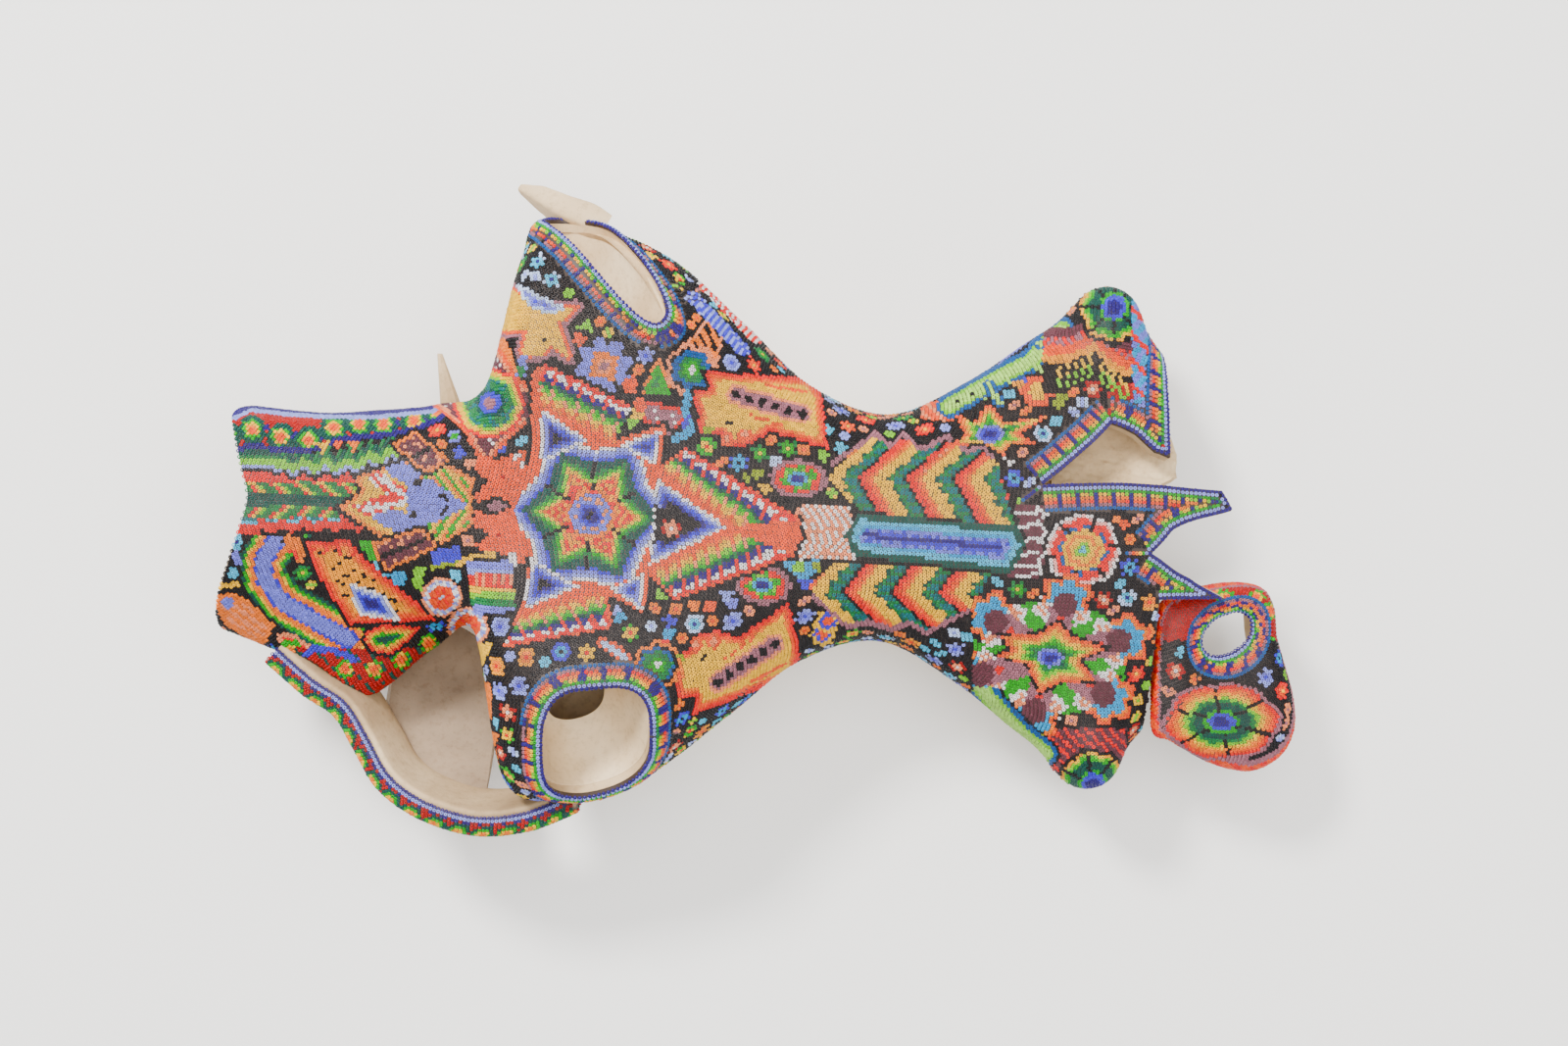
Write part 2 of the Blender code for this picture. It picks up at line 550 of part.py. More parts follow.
def arch_pieces():
    skin_rings = arch_surface(ARCH, ARCH_TALL, ARCH_THICK)
    centre = skin_rings.mean(axis=1, keepdims=True)
    normals = sheet_normals(skin_rings, ring=True)
    normals *= np.sign(((skin_rings - centre) * normals).sum(axis=-1, keepdims=True))
    depth = np.full(ARCH_SIDES, DEPTHS["bone"][0])
    depth[list(ARCH_BARE)] = 0
    bone = capped_tube("bone_arch_right", skin_rings - normals * depth[:, None], BONE_STUFF)
    right_half = np.meshgrid(stations(0, BACK, STEP_ALONG), stations(-EDGE, 0, STEP_AROUND), indexing="ij")
    helpers = [
        grown("braincase_clearance", *right_half),
        grown("socket_clearance", *socket_places("right"), ring=True),
    ]
    covered = np.arange(-1, 6)
    pieces = [bone]
    for kind in ("wax", "beads"):
        outer, inner, stuff = DEPTHS[kind]
        strip = skin_rings[:, covered]
        strip[:, 0] += (strip[:, 1] - strip[:, 0]) * 0.2
        strip[:, -1] += (strip[:, -2] - strip[:, -1]) * 0.2
        pieces.append(shell(kind + "_arch_right", strip, normals[:, covered], outer, inner, stuff))
    wide = skin_rings + normals * GAP
    wide[0] += (wide[0] - wide[1]) * 0.15
    wide[-1] += (wide[-1] - wide[-2]) * 0.15
    clearance = capped_tube("arch_clearance", wide, BONE_STUFF, hidden=True)
    for name in ("wax_braincase", "beads_braincase", "wax_eye_socket_right", "beads_eye_socket_right"):
        cut(bpy.data.objects[name], clearance)
    floor = np.array([[(x, y, z) for y, z in row] for x, row in TEMPLE_FLOOR]) * (LENGTH, WIDTH, HEIGHT)
    normals = sheet_normals(floor, ring=False)
    normals *= np.sign(normals[..., 2:])
    temple = shell("temple_floor", floor, normals, 0, BELLY_THICK, BONE_STUFF)
    join(bone, temple)
    for piece in pieces:
        for helper in helpers:
            cut(piece, helper)
    return clearance


def round_bar(name, path, sides=10, stuff=BONE_STUFF):
    """A tapering bar through (x, y, z, radius) points, each ring flat in z when the bar is upright."""
    path = np.array(path)
    middle = path[:, :3] * (LENGTH, WIDTH, HEIGHT)
    way = middle[-1] - middle[0]
    first = np.array((0, 1.0, 0)) if abs(way[2]) > abs(way[1]) else np.array((0, 0, 1.0))
    second = np.cross((0, 0, 1.0), first) if abs(way[2]) > abs(way[1]) else np.array((1.0, 0, 0))
    angles = np.arange(sides) * 2 * math.pi / sides
    circle = np.cos(angles)[:, None] * first + np.sin(angles)[:, None] * second
    return capped_tube(name, middle[:, None] + path[:, 3, None, None] * circle, stuff)


def arch_stub():
    skin_rings = arch_surface(STUB, ARCH_TALL * 0.7, ARCH_THICK, STUB_TAPER)
    stub = capped_tube("bone_arch_stub_left", skin_rings, BONE_STUFF)
    socket = grown("socket_clearance_left", *socket_places("left"), ring=True, deep=0.007)
    cut(stub, socket)
    centre = skin_rings.mean(axis=1, keepdims=True)
    away = skin_rings - centre
    wide = skin_rings + away / np.linalg.norm(away, axis=-1, keepdims=True) * GAP
    wide[0] += (wide[0] - wide[1]) * 0.15
    clearance = capped_tube("stub_clearance", wide, BONE_STUFF, hidden=True)
    for name in ("wax_eye_socket_left", "beads_eye_socket_left"):
        cut(bpy.data.objects[name], clearance)


def belly_surface(start, end, step=0.5):
    """The underside between the two lower edges of the skin."""
    along = stations(start, end, step)
    sides = []
    for sign in (1, -1):
        points, normals = skin_layers(along, np.full(len(along), sign * EDGE * 0.99))
        edge = points - normals * (DEPTHS["bone"][0] + BONE / 2)
        edge[:, 2] -= BELLY_DROP
        half = []
        for share, height in BELLY:
            row = edge.copy()
            row[:, 1] *= share
            if height is not None:
                row[:, 2] = np.minimum(height * HEIGHT, edge[:, 2])
            half.append(row)
        sides.append(half if sign > 0 else half[::-1][1:])
    return np.moveaxis(np.array(sides[0] + sides[1]), 0, 1)


def wall(name, along, around, ring=False):
    """A helper round the lower edge of a bone, to fit the underside against it."""
    points, normals = skin_layers(along, around)
    outer, inner = DEPTHS["bone"][0] - 0.002, DEPTHS["bone"][1] + 2.5 * GAP
    return as_helper(shell(name, points, normals, outer, inner, BONE_STUFF, ring))


def belly_pieces():
    back, middle, front = BELLY_ENDS
    whole = np.meshgrid(stations(0, BACK, STEP_ALONG), stations(-EDGE, EDGE, STEP_AROUND), indexing="ij")
    sockets = [wall("socket_wall_" + side, *socket_places(side), ring=True) for side in SOCKETS]
    walls = {"bone_skull_base": [wall("braincase_wall", *whole)] + sockets, "bone_palate": list(sockets)}
    for side, end in (("right", CHEEK_END_RIGHT), ("left", CHEEK_END_LEFT)):
        for start, stop in ((CHEEK, MUZZLE), (MUZZLE, end)):
            places = cheek_places(side, stations(start, stop, STEP_ALONG))
            walls["bone_palate"].append(wall("cheek_wall_" + side, *places))
    for name, start, end in (("bone_skull_base", back, middle), ("bone_palate", middle, front)):
        points = belly_surface(start, end)
        normals = np.zeros_like(points)
        normals[..., 2] = -1
        drawn_in(points, 0, 1)
        drawn_in(points, -1, -2)
        belly = shell(name, points, normals, 0, -BELLY_THICK, BONE_STUFF)
        for helper in walls[name]:
            cut(belly, helper)
    points = belly_surface(back, front)
    normals = np.zeros_like(points)
    normals[..., 2] = -1
    return as_helper(shell("above_belly", points, normals, 0.02, -BELLY_THICK - GAP, BONE_STUFF))


def tooth(name, x, y, length, breadth, corners=12):
    angles = np.arange(corners) * 2 * math.pi / corners
    lobes = 1 + 0.06 * np.cos(4 * angles + math.pi)
    rings = []
    for share, height in TOOTH_RINGS:
        z = min(height, TOOTH_TOP) * HEIGHT
        ring = np.column_stack([np.cos(angles) * length / 2 * LENGTH, np.sin(angles) * breadth / 2 * WIDTH])
        square = np.abs(ring / (length / 2 * LENGTH, breadth / 2 * WIDTH))
        ring /= ((square**3.2).sum(axis=1) ** (1 / 3.2))[:, None]
        ring *= (share * lobes)[:, None]
        rings.append(np.column_stack([ring + (x * LENGTH, y * WIDTH), np.full(corners, z)]))
    return capped_tube(name, np.array(rings), TOOTH_STUFF)


def occiput():
    """The back of the skull, closing the braincase round the hole for the spinal cord."""
    around = stations(-EDGE, EDGE, STEP_AROUND)
    points, normals = skin_layers(np.full(len(around), 0.2), around)
    loop = points - normals * (DEPTHS["bone"][1] + 3 * GAP)
    low = np.linspace(loop[-1], loop[0], 5)[1:-1]
    loop = np.concatenate([loop, low])
    x, z, radius = FORAMEN_MAGNUM
    hole_middle = np.array((x * LENGTH, 0, z * HEIGHT))
    angles = np.arctan2(loop[:, 2] - hole_middle[2], loop[:, 1])
    hole = hole_middle + radius * np.column_stack([np.zeros(len(loop)), np.cos(angles), np.sin(angles)])
    rows = np.array([loop * (1 - share) + hole * share for share in (0, 0.5, 1)])
    forward = np.zeros_like(rows)
    forward[..., 0] = -1
    plate = shell("bone_occiput", rows, forward, 0, BONE, BONE_STUFF, ring=True)
    for sign in (1, -1):
        x, y, z, a, b, c = CONDYLE
        bpy.ops.mesh.primitive_uv_sphere_add(
            segments=14, ring_count=8, location=(x * LENGTH, sign * y * WIDTH, z * HEIGHT), scale=(a, b, c)
        )
        condyle = bpy.context.active_object
        condyle.name = "condyle_shape"
        join(plate, condyle)


TOOTH_STUFF = material("tooth_enamel", (0.72, 0.62, 0.44), 0.35)

arch_clearance = arch_pieces()
arch_stub()
above_belly = belly_pieces()
cut(bpy.data.objects["bone_palate"], arch_clearance)
occiput()
for side, sign in (("right", -1), ("left", 1)):
    for number, (x, y, length, breadth) in enumerate(TEETH, 1):
        cut(tooth(f"tooth_{side}_{number}", x, sign * y, length, breadth), above_belly)
    cut(round_bar("bone_pterygoid_" + side, [(x, sign * y, z, r) for x, y, z, r in PTERYGOID]), above_belly)
cut(round_bar("bone_spike_left", SPIKE, sides=8), above_belly)

torn = np.array([[(x, y, z) for y, z in row] for x, row in TORN]) * (LENGTH, WIDTH, HEIGHT)
torn_normals = sheet_normals(torn, ring=False)
torn_normals *= np.sign(torn_normals[..., 2:])
fragment = shell("bone_torn_premaxilla_left", torn, torn_normals, 0, TORN_THICK, BONE_STUFF)
sections = stations(MUZZLE, CHEEK_END_LEFT, STEP_ALONG)
points, normals = skin_layers(*cheek_places("left", sections))
cut(fragment, shell("cheek_clearance", points, normals, 0.001, DEPTHS["bone"][1] + GAP, BONE_STUFF))


def stand_on_origin():
    """Moves everything so the middle of the skull's base is at the origin."""
    graph = bpy.context.evaluated_depsgraph_get()
    shown = [obj.evaluated_get(graph) for obj in bpy.data.objects if not obj.hide_render]
    corners = []
    for obj in shown:
        place = np.array(obj.matrix_world)
        corners.append(np.array(obj.bound_box) @ place[:3, :3].T + place[:3, 3])
    corners = np.concatenate(corners)
    low, high = corners.min(axis=0), corners.max(axis=0)
    for obj in bpy.data.objects:
        obj.location.x -= (low[0] + high[0]) / 2
        obj.location.y -= (low[1] + high[1]) / 2
        obj.location.z -= low[2]


stand_on_origin()
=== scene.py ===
"""The looks of a beaded skull: glass seed beads in wax over a weathered hippopotamus skull."""

import math

import bpy
import numpy as np
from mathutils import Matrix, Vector
from mathutils.bvhtree import BVHTree
from mathutils.kdtree import KDTree


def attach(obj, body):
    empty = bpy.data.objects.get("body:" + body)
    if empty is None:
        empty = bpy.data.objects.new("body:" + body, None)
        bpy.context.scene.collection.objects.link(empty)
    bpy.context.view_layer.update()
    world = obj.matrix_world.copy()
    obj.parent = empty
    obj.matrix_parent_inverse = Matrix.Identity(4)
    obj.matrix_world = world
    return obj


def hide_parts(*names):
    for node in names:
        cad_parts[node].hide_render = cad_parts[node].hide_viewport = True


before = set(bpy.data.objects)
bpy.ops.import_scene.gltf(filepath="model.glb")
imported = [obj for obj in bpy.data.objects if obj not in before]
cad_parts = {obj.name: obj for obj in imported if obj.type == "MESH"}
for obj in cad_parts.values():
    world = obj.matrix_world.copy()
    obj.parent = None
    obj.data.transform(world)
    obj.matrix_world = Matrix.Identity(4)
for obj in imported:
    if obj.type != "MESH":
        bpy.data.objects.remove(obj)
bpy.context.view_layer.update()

# ---------------------------------------------------------------- the skull's outside, as in the CAD part
SHIFT = np.array((0.00603, -0.00037, 0.0))  # from the skull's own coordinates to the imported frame

SECTIONS = (
    (-0.276, ((0, 0.158), (0.018, 0.158), (0.035, 0.151), (0.051, 0.138), (0.064, 0.119),
              (0.072, 0.098), (0.069, 0.075), (0.054, 0.055)),
             ((0, 0.158), (0.013, 0.158), (0.025, 0.154), (0.036, 0.146), (0.044, 0.132),
              (0.049, 0.108), (0.050, 0.080), (0.046, 0.055))),
    (-0.252, ((0, 0.157), (0.016, 0.156), (0.032, 0.149), (0.051, 0.135), (0.070, 0.117),
              (0.088, 0.099), (0.087, 0.078), (0.060, 0.057)),
             ((0, 0.157), (0.012, 0.157), (0.024, 0.153), (0.035, 0.145), (0.043, 0.131),
              (0.047, 0.108), (0.048, 0.080), (0.044, 0.055))),
    (-0.222, ((0, 0.156), (0.016, 0.155), (0.032, 0.149), (0.052, 0.135), (0.076, 0.114),
              (0.102, 0.096), (0.099, 0.077), (0.058, 0.056)),
             ((0, 0.156), (0.013, 0.156), (0.025, 0.152), (0.036, 0.144), (0.045, 0.130),
              (0.050, 0.107), (0.050, 0.080), (0.044, 0.055))),
    (-0.188, ((0, 0.158), (0.016, 0.157), (0.032, 0.152), (0.047, 0.140), (0.062, 0.120),
              (0.076, 0.097), (0.075, 0.076), (0.050, 0.056)),
             ((0, 0.158), (0.014, 0.158), (0.028, 0.154), (0.040, 0.146), (0.050, 0.131),
              (0.055, 0.107), (0.053, 0.080), (0.045, 0.056))),
    (-0.162, ((0, 0.163), (0.018, 0.163), (0.036, 0.160), (0.050, 0.151), (0.060, 0.134),
              (0.066, 0.110), (0.062, 0.082), (0.046, 0.058)), None),
    (-0.141, ((0, 0.166), (0.024, 0.167), (0.050, 0.169), (0.078, 0.170), (0.105, 0.163),
              (0.128, 0.149), (0.142, 0.128), (0.142, 0.098)), None),
    (-0.105, ((0, 0.167), (0.028, 0.167), (0.056, 0.169), (0.084, 0.171), (0.112, 0.164),
              (0.137, 0.147), (0.151, 0.118), (0.143, 0.084)), None),
    (-0.065, ((0, 0.165), (0.026, 0.165), (0.052, 0.166), (0.078, 0.166), (0.102, 0.159),
              (0.124, 0.142), (0.137, 0.114), (0.126, 0.080)), None),
    (-0.025, ((0, 0.160), (0.022, 0.160), (0.044, 0.158), (0.064, 0.153), (0.083, 0.144),
              (0.097, 0.128), (0.105, 0.103), (0.094, 0.074)), None),
    (0.012, ((0, 0.154), (0.018, 0.153), (0.034, 0.150), (0.048, 0.144), (0.062, 0.133),
             (0.071, 0.117), (0.074, 0.094), (0.067, 0.066)), None),
    (0.055, ((0, 0.148), (0.014, 0.147), (0.028, 0.144), (0.040, 0.138), (0.050, 0.128),
             (0.058, 0.112), (0.062, 0.088), (0.060, 0.060)), None),
    (0.098, ((0, 0.142), (0.015, 0.141), (0.030, 0.137), (0.046, 0.130), (0.062, 0.120),
             (0.077, 0.106), (0.083, 0.083), (0.074, 0.056)), None),
    (0.135, ((0, 0.137), (0.018, 0.135), (0.036, 0.130), (0.056, 0.123), (0.078, 0.114),
             (0.099, 0.100), (0.110, 0.076), (0.096, 0.050)), None),
    (0.172, ((0, 0.131), (0.020, 0.129), (0.040, 0.123), (0.064, 0.116), (0.092, 0.108),
             (0.117, 0.096), (0.130, 0.073), (0.116, 0.046)), None),
    (0.196, ((0, 0.125), (0.020, 0.123), (0.040, 0.118), (0.062, 0.111), (0.085, 0.101),
             (0.104, 0.087), (0.112, 0.066), (0.102, 0.045)), None),
    (0.214, ((0, 0.120), (0.020, 0.118), (0.038, 0.113), (0.056, 0.105), (0.074, 0.095),
             (0.089, 0.081), (0.096, 0.062), (0.090, 0.045)), None),
    (0.244, ((0, 0.111), (0.020, 0.109), (0.036, 0.104), (0.052, 0.096), (0.068, 0.086),
             (0.080, 0.074), (0.086, 0.060), (0.084, 0.046)), None),
)
TRAIL_RIGHT = (0, 0.004, 0.010, 0.017, 0.022, 0.023, 0.020, 0.014)
TRAIL_LEFT = (0, 0.003, 0.007, 0.011, 0.015, 0.015, 0.012, 0.010)
EDGE, BEAD_EDGE, ROOF, BRIDGE = 7, 6.3, 2.8, 1.6
BACK, CHEEK, MUZZLE = 4.0, 7.5, 12.0
SOCKETS = {"right": (6.33, -4.35, 0.66, 1.15, 0.0, 3.0), "left": (6.12, 5.0, 0.98, 0.52, -0.62, 2.6)}
RIM_HEIGHT = 0.0045
KNOB = {"height": 0.011, "spread": 0.017, "along": 0.172, "out": 0.121}
TONGUE_FRONT = ((-1.6, 15.75), (-0.95, 15.1), (-0.35, 13.95), (0.3, 14.6), (0.9, 15.8), (1.5, 15.6))
TONGUE_WIDE = 1.5
OPENING_EDGE = ((12.0, 1.5), (12.5, 2.25), (13.0, 2.9), (13.5, 2.7), (14.0, 2.35), (14.5, 2.3))
CHEEK_END_LEFT, CHEEK_END_RIGHT = 14.5, 14.3
BEADS, WAX, BONE, GAP = 0.0016, 0.0012, 0.0045, 0.0003
BONE_TOP = BEADS + WAX + 2 * GAP
PREMAXILLA = (
    (0.206, -0.104), (0.204, -0.083), (0.2035, -0.062), (0.204, -0.044), (0.208, -0.033), (0.232, -0.024),
    (0.258, -0.021), (0.270, -0.030), (0.274, -0.050), (0.281, -0.070), (0.287, -0.092), (0.283, -0.111),
    (0.266, -0.123), (0.248, -0.122), (0.231, -0.116), (0.217, -0.108),
)
FORAMEN = (0.243, -0.049, 0.015, 0.010, 0.6)
PREMAXILLA_RINGS = (
    (0, -0.004, -0.004), (0.14, 0.001, 0.001), (0.45, 0.003, 0.003), (0.78, 0.0, 0.001),
    (1.0, -0.014, -0.003), (1.0, -0.034, -0.020), (0.92, -0.056, -0.045),
)
PREMAXILLA_TOP = (0.104, 0.22)
ARCH = (
    (-0.268, -0.080, 0.086), (-0.248, -0.096, 0.086), (-0.229, -0.108, 0.087), (-0.216, -0.127, 0.088),
    (-0.203, -0.146, 0.089), (-0.183, -0.158, 0.091), (-0.156, -0.164, 0.094), (-0.130, -0.160, 0.097),
    (-0.106, -0.149, 0.099),
)
ARCH_TALL, ARCH_THICK, SQUARENESS, ARCH_LEAN = 0.023, 0.0085, 0.6, 0.22


def skin_grid():
    rows = []
    for place, (along, right, left) in enumerate(SECTIONS):
        left = left or right
        behind = (TRAIL_RIGHT, TRAIL_LEFT) if place == 0 else ((0,) * 8, (0,) * 8)
        row = [(along - behind[0][k], -right[k][0], right[k][1]) for k in range(EDGE, 0, -1)]
        row += [(along - behind[1][k], left[k][0], left[k][1]) for k in range(EDGE + 1)]
        rows.append(row)
    return np.array(rows)


GRID = skin_grid()


def spline_weights(place, count):
    """The four nearest rows and their weights, for a smooth curve through rows."""
    first = np.clip(np.floor(place).astype(int), 0, count - 2)
    f = place - first
    weights = 0.5 * np.stack(
        [-(f**3) + 2 * f**2 - f, 3 * f**3 - 5 * f**2 + 2, -3 * f**3 + 4 * f**2 + f, f**3 - f**2], -1
    )
    return np.clip(first[..., None] + np.arange(-1, 3), 0, count - 1), weights


def socket_distance(side, along, around):
    """1 on the edge of an eye socket, less inside it."""
    mid_along, mid_around, long, broad, turn, square = SOCKETS[side]
    a, b = along - mid_along, (around - mid_around) / 2
    a, b = a * math.cos(turn) + b * math.sin(turn), b * math.cos(turn) - a * math.sin(turn)
    return (np.abs(a / long) ** square + np.abs(2 * b / broad) ** square) ** (1 / square)


def bare_skin(along, around):
    """The skull's outside without socket rims and knobs."""
    rows, along_weights = spline_weights(along, len(GRID))
    columns, around_weights = spline_weights(around + EDGE, 2 * EDGE + 1)
    near = GRID[rows[..., :, None], columns[..., None, :]]
    return np.einsum("...abk,...a,...b->...k", near, along_weights, around_weights)


def normals_of(surface, along, around):
    step = 0.02
    d_along = surface(along + step, around) - surface(along - step, around)
    d_around = surface(along, around + step) - surface(along, around - step)
    across = np.cross(d_along, d_around)
    return across / np.maximum(np.linalg.norm(across, axis=-1, keepdims=True), 1e-12)


def skin(along, around):
    """The skull's outside, by place along it and round it."""
    along, around = np.asarray(along, float), np.asarray(around, float)
    points = bare_skin(along, around)
    normals = normals_of(bare_skin, along, around)
    rim = sum(
        np.exp(-(((socket_distance(side, along, around) - 1.12) / 0.3) ** 2)) * (around * mid[1] > 0)
        for side, mid in SOCKETS.items()
    )
    off_knob = np.hypot(points[..., 0] - KNOB["along"], np.abs(points[..., 1]) - KNOB["out"])
    knob = np.exp(-((off_knob / KNOB["spread"]) ** 2)) * (points[..., 2] > 0.07)
    return points + normals * (RIM_HEIGHT * rim + KNOB["height"] * knob)[..., None]


def closed_spline(points, count):
    points = np.array(points)
    places = np.arange(count) * len(points) / count
    first = np.floor(places).astype(int)
    _, weights = spline_weights(places - first, 4)
    near = points[(first[:, None] + np.arange(-1, 3)) % len(points)]
    return np.einsum("nak,na->nk", near, weights)


def premaxilla_rings(count=20):
    outline = closed_spline(PREMAXILLA, count)
    x, y, long, broad, turn = FORAMEN
    middle = np.array((x, y))
    bearing = np.arctan2(*(outline - middle).T[::-1]) - turn
    hole = np.stack([long * np.cos(bearing), broad * np.sin(bearing)], -1)
    hole = middle + hole @ np.array([[math.cos(turn), math.sin(turn)], [-math.sin(turn), math.cos(turn)]])
    top, fall = PREMAXILLA_TOP
    rows = []
    for share, front, back in PREMAXILLA_RINGS:
        plan = hole * (1 - share) + outline * share
        free = np.clip((plan[:, 0] - 0.203) / 0.03, 0, 1)
        height = top - fall * (plan[:, 0] - 0.203) + front * free + back * (1 - free)
        rows.append(np.column_stack([plan, height]))
    return np.array(rows)


def arch_rings(path, tall, thick, sides=12, taper=None):
    path = np.array(path)
    way = np.gradient(path, axis=0)
    way /= np.linalg.norm(way, axis=1, keepdims=True)
    side = np.cross(way, (0, 0, 1.0))
    side /= np.linalg.norm(side, axis=1, keepdims=True)
    up = np.cross(side, way)
    scale = np.ones((len(path), 1)) if taper is None else np.array(taper)[:, None]
    rings = []
    for angle in np.arange(sides) * 2 * math.pi / sides:
        a = tall * np.sign(math.cos(angle)) * abs(math.cos(angle)) ** SQUARENESS * scale
        b = thick * np.sign(math.sin(angle)) * abs(math.sin(angle)) ** SQUARENESS * scale
        tilt_cos, tilt_sin = math.cos(ARCH_LEAN), math.sin(ARCH_LEAN)
        rings.append(path + up * (a * tilt_cos - b * tilt_sin) + side * (a * tilt_sin + b * tilt_cos))
    return np.moveaxis(np.array(rings), 0, 1)


def sheet_of(grid, wrap):
    """A smooth surface through a grid of points; the second way round may close on itself."""

    def at(first, second):
        first, second = np.asarray(first, float), np.asarray(second, float)
        rows, row_weights = spline_weights(first, grid.shape[0])
        if wrap:
            base = np.floor(second).astype(int)
            _, column_weights = spline_weights(second - base, 4)
            columns = (base[..., None] + np.arange(-1, 3)) % grid.shape[1]
        else:
            columns, column_weights = spline_weights(second, grid.shape[1])
        near = grid[rows[..., :, None], columns[..., None, :]]
        return np.einsum("...abk,...a,...b->...k", near, row_weights, column_weights)

    return at


premaxilla = sheet_of(premaxilla_rings(), wrap=True)
arch = sheet_of(arch_rings(ARCH, ARCH_TALL, ARCH_THICK), wrap=True)

# ---------------------------------------------------------------- where the beads lie
PITCH = 0.00215  # from bead to bead along a row
ROW = 0.00186  # from row to row
FIRST_ROW = 0.00095  # from a bare edge to the middle of the first row
COLLAR_ROWS = 8
CLOSEST = 0.00172  # no two beads are nearer than this
EDGE_STEP = 0.0005  # spacing of the points along a bare edge
rng = np.random.default_rng(7)


def socket_edge(side, count=700):
    """Places round the edge of an eye socket."""
    mid_along, mid_around, long, broad, turn, square = SOCKETS[side]
    angle = np.linspace(0, 2 * math.pi, count)
    a = long * np.sign(np.cos(angle)) * np.abs(np.cos(angle)) ** (2 / square)
    b = broad / 2 * np.sign(np.sin(angle)) * np.abs(np.sin(angle)) ** (2 / square)
    a, b = a * math.cos(turn) - b * math.sin(turn), a * math.sin(turn) + b * math.cos(turn)
    return np.column_stack([mid_along + a, mid_around + 2 * b])


def nose_edge():
    """The bare edge from the lower left cheek, round the nasal opening and the tongue to its right side."""
    corners = [(CHEEK_END_LEFT, BEAD_EDGE)] + list(OPENING_EDGE[::-1])
    corners += [(end, around) for around, end in TONGUE_FRONT[::-1]] + [(CHEEK_END_RIGHT, -BRIDGE)]
    corners.insert(len(OPENING_EDGE) + 1, (15.6, TONGUE_WIDE))
    return np.array(corners, float)


def resampled(places):
    """A line on the skin with evenly spaced places."""
    fine = [np.linspace(a, b, 60, endpoint=False) for a, b in zip(places, places[1:])]
    fine = np.concatenate(fine + [places[-1:]])
    points = skin(fine[:, 0], fine[:, 1])
    arc = np.concatenate([[0], np.cumsum(np.linalg.norm(np.diff(points, axis=0), axis=1))])
    marks = np.arange(0, arc[-1], EDGE_STEP)
    return np.column_stack([np.interp(marks, arc, fine[:, 0]), np.interp(marks, arc, fine[:, 1])])


def in_field(along, around):
    """Whether places lie on the beaded skin, clear of the openings."""
    front = np.interp(around, *zip(*TONGUE_FRONT))
    front = np.where(around > TONGUE_WIDE, CHEEK_END_LEFT, front)
    front = np.where(around < -BRIDGE, CHEEK_END_RIGHT, front)
    open_nose = (along > MUZZLE) & (around > TONGUE_WIDE) & (around < np.interp(along, *zip(*OPENING_EDGE)))
    fine = (along >= 0) & (along <= front) & (np.abs(around) <= BEAD_EDGE) & ~open_nose
    for side, mid in SOCKETS.items():
        fine &= (socket_distance(side, along, around) > 1) | (around * mid[1] < 0)
    return fine


def tree_of(points):
    tree = KDTree(len(points))
    for index, point in enumerate(points):
        tree.insert(point, index)
    tree.balance()
    return tree


def nearest(tree, points):
    """The index of the nearest place to each point, and its distance."""
    found = [tree.find(point) for point in points]
    return np.array([f[1] for f in found]), np.array([f[2] for f in found])


def walked(places, direction, length):
    """Places moved over the skin in a direction, by a length."""
    along, around = places.T
    step = 0.01
    ways = np.stack([
        (skin(along + step, around) - skin(along - step, around)) / (2 * step),
        (skin(along, around + step) - skin(along, around - step)) / (2 * step),
    ], -1)
    square = np.einsum("nki,nkj->nij", ways, ways) + np.eye(2) * 1e-12
    pull = np.einsum("nki,nk->ni", ways, direction)
    return places + np.linalg.solve(square, pull[..., None])[..., 0] * length


def collar(edge):
    """Rows of beads that follow a bare edge: places, row numbers, distance along the edge."""
    edge = resampled(edge)
    start = skin(edge[:, 0], edge[:, 1])
    tree = tree_of(start)
    normals = normals_of(skin, edge[:, 0], edge[:, 1])
    tangent = np.gradient(start, axis=0)
    away = np.cross(tangent, normals)
    away /= np.maximum(np.linalg.norm(away, axis=1, keepdims=True), 1e-12)
    places = walked(edge, away, FIRST_ROW)
    if in_field(*places.T).mean() < 0.5:
        away = -away
        places = walked(edge, away, FIRST_ROW)
    beads, rows, marks = [], [], []
    for row in range(COLLAR_ROWS):
        points = skin(places[:, 0], places[:, 1])
        index, distance = nearest(tree, points)
        kept = (distance > (FIRST_ROW + row * ROW) * 0.7 - 0.0003) & in_field(*places.T)
        last = None
        for k in np.flatnonzero(kept):
            if last is None or np.linalg.norm(points[k] - last) >= PITCH:
                last = points[k]
                beads.append(places[k])
                rows.append(row)
                marks.append(index[k] * EDGE_STEP)
        away = points - start[index]
        away /= np.maximum(np.linalg.norm(away, axis=1, keepdims=True), 1e-9)
        places = walked(places, away, ROW)
    return np.array(beads), np.array(rows), np.array(marks), tree


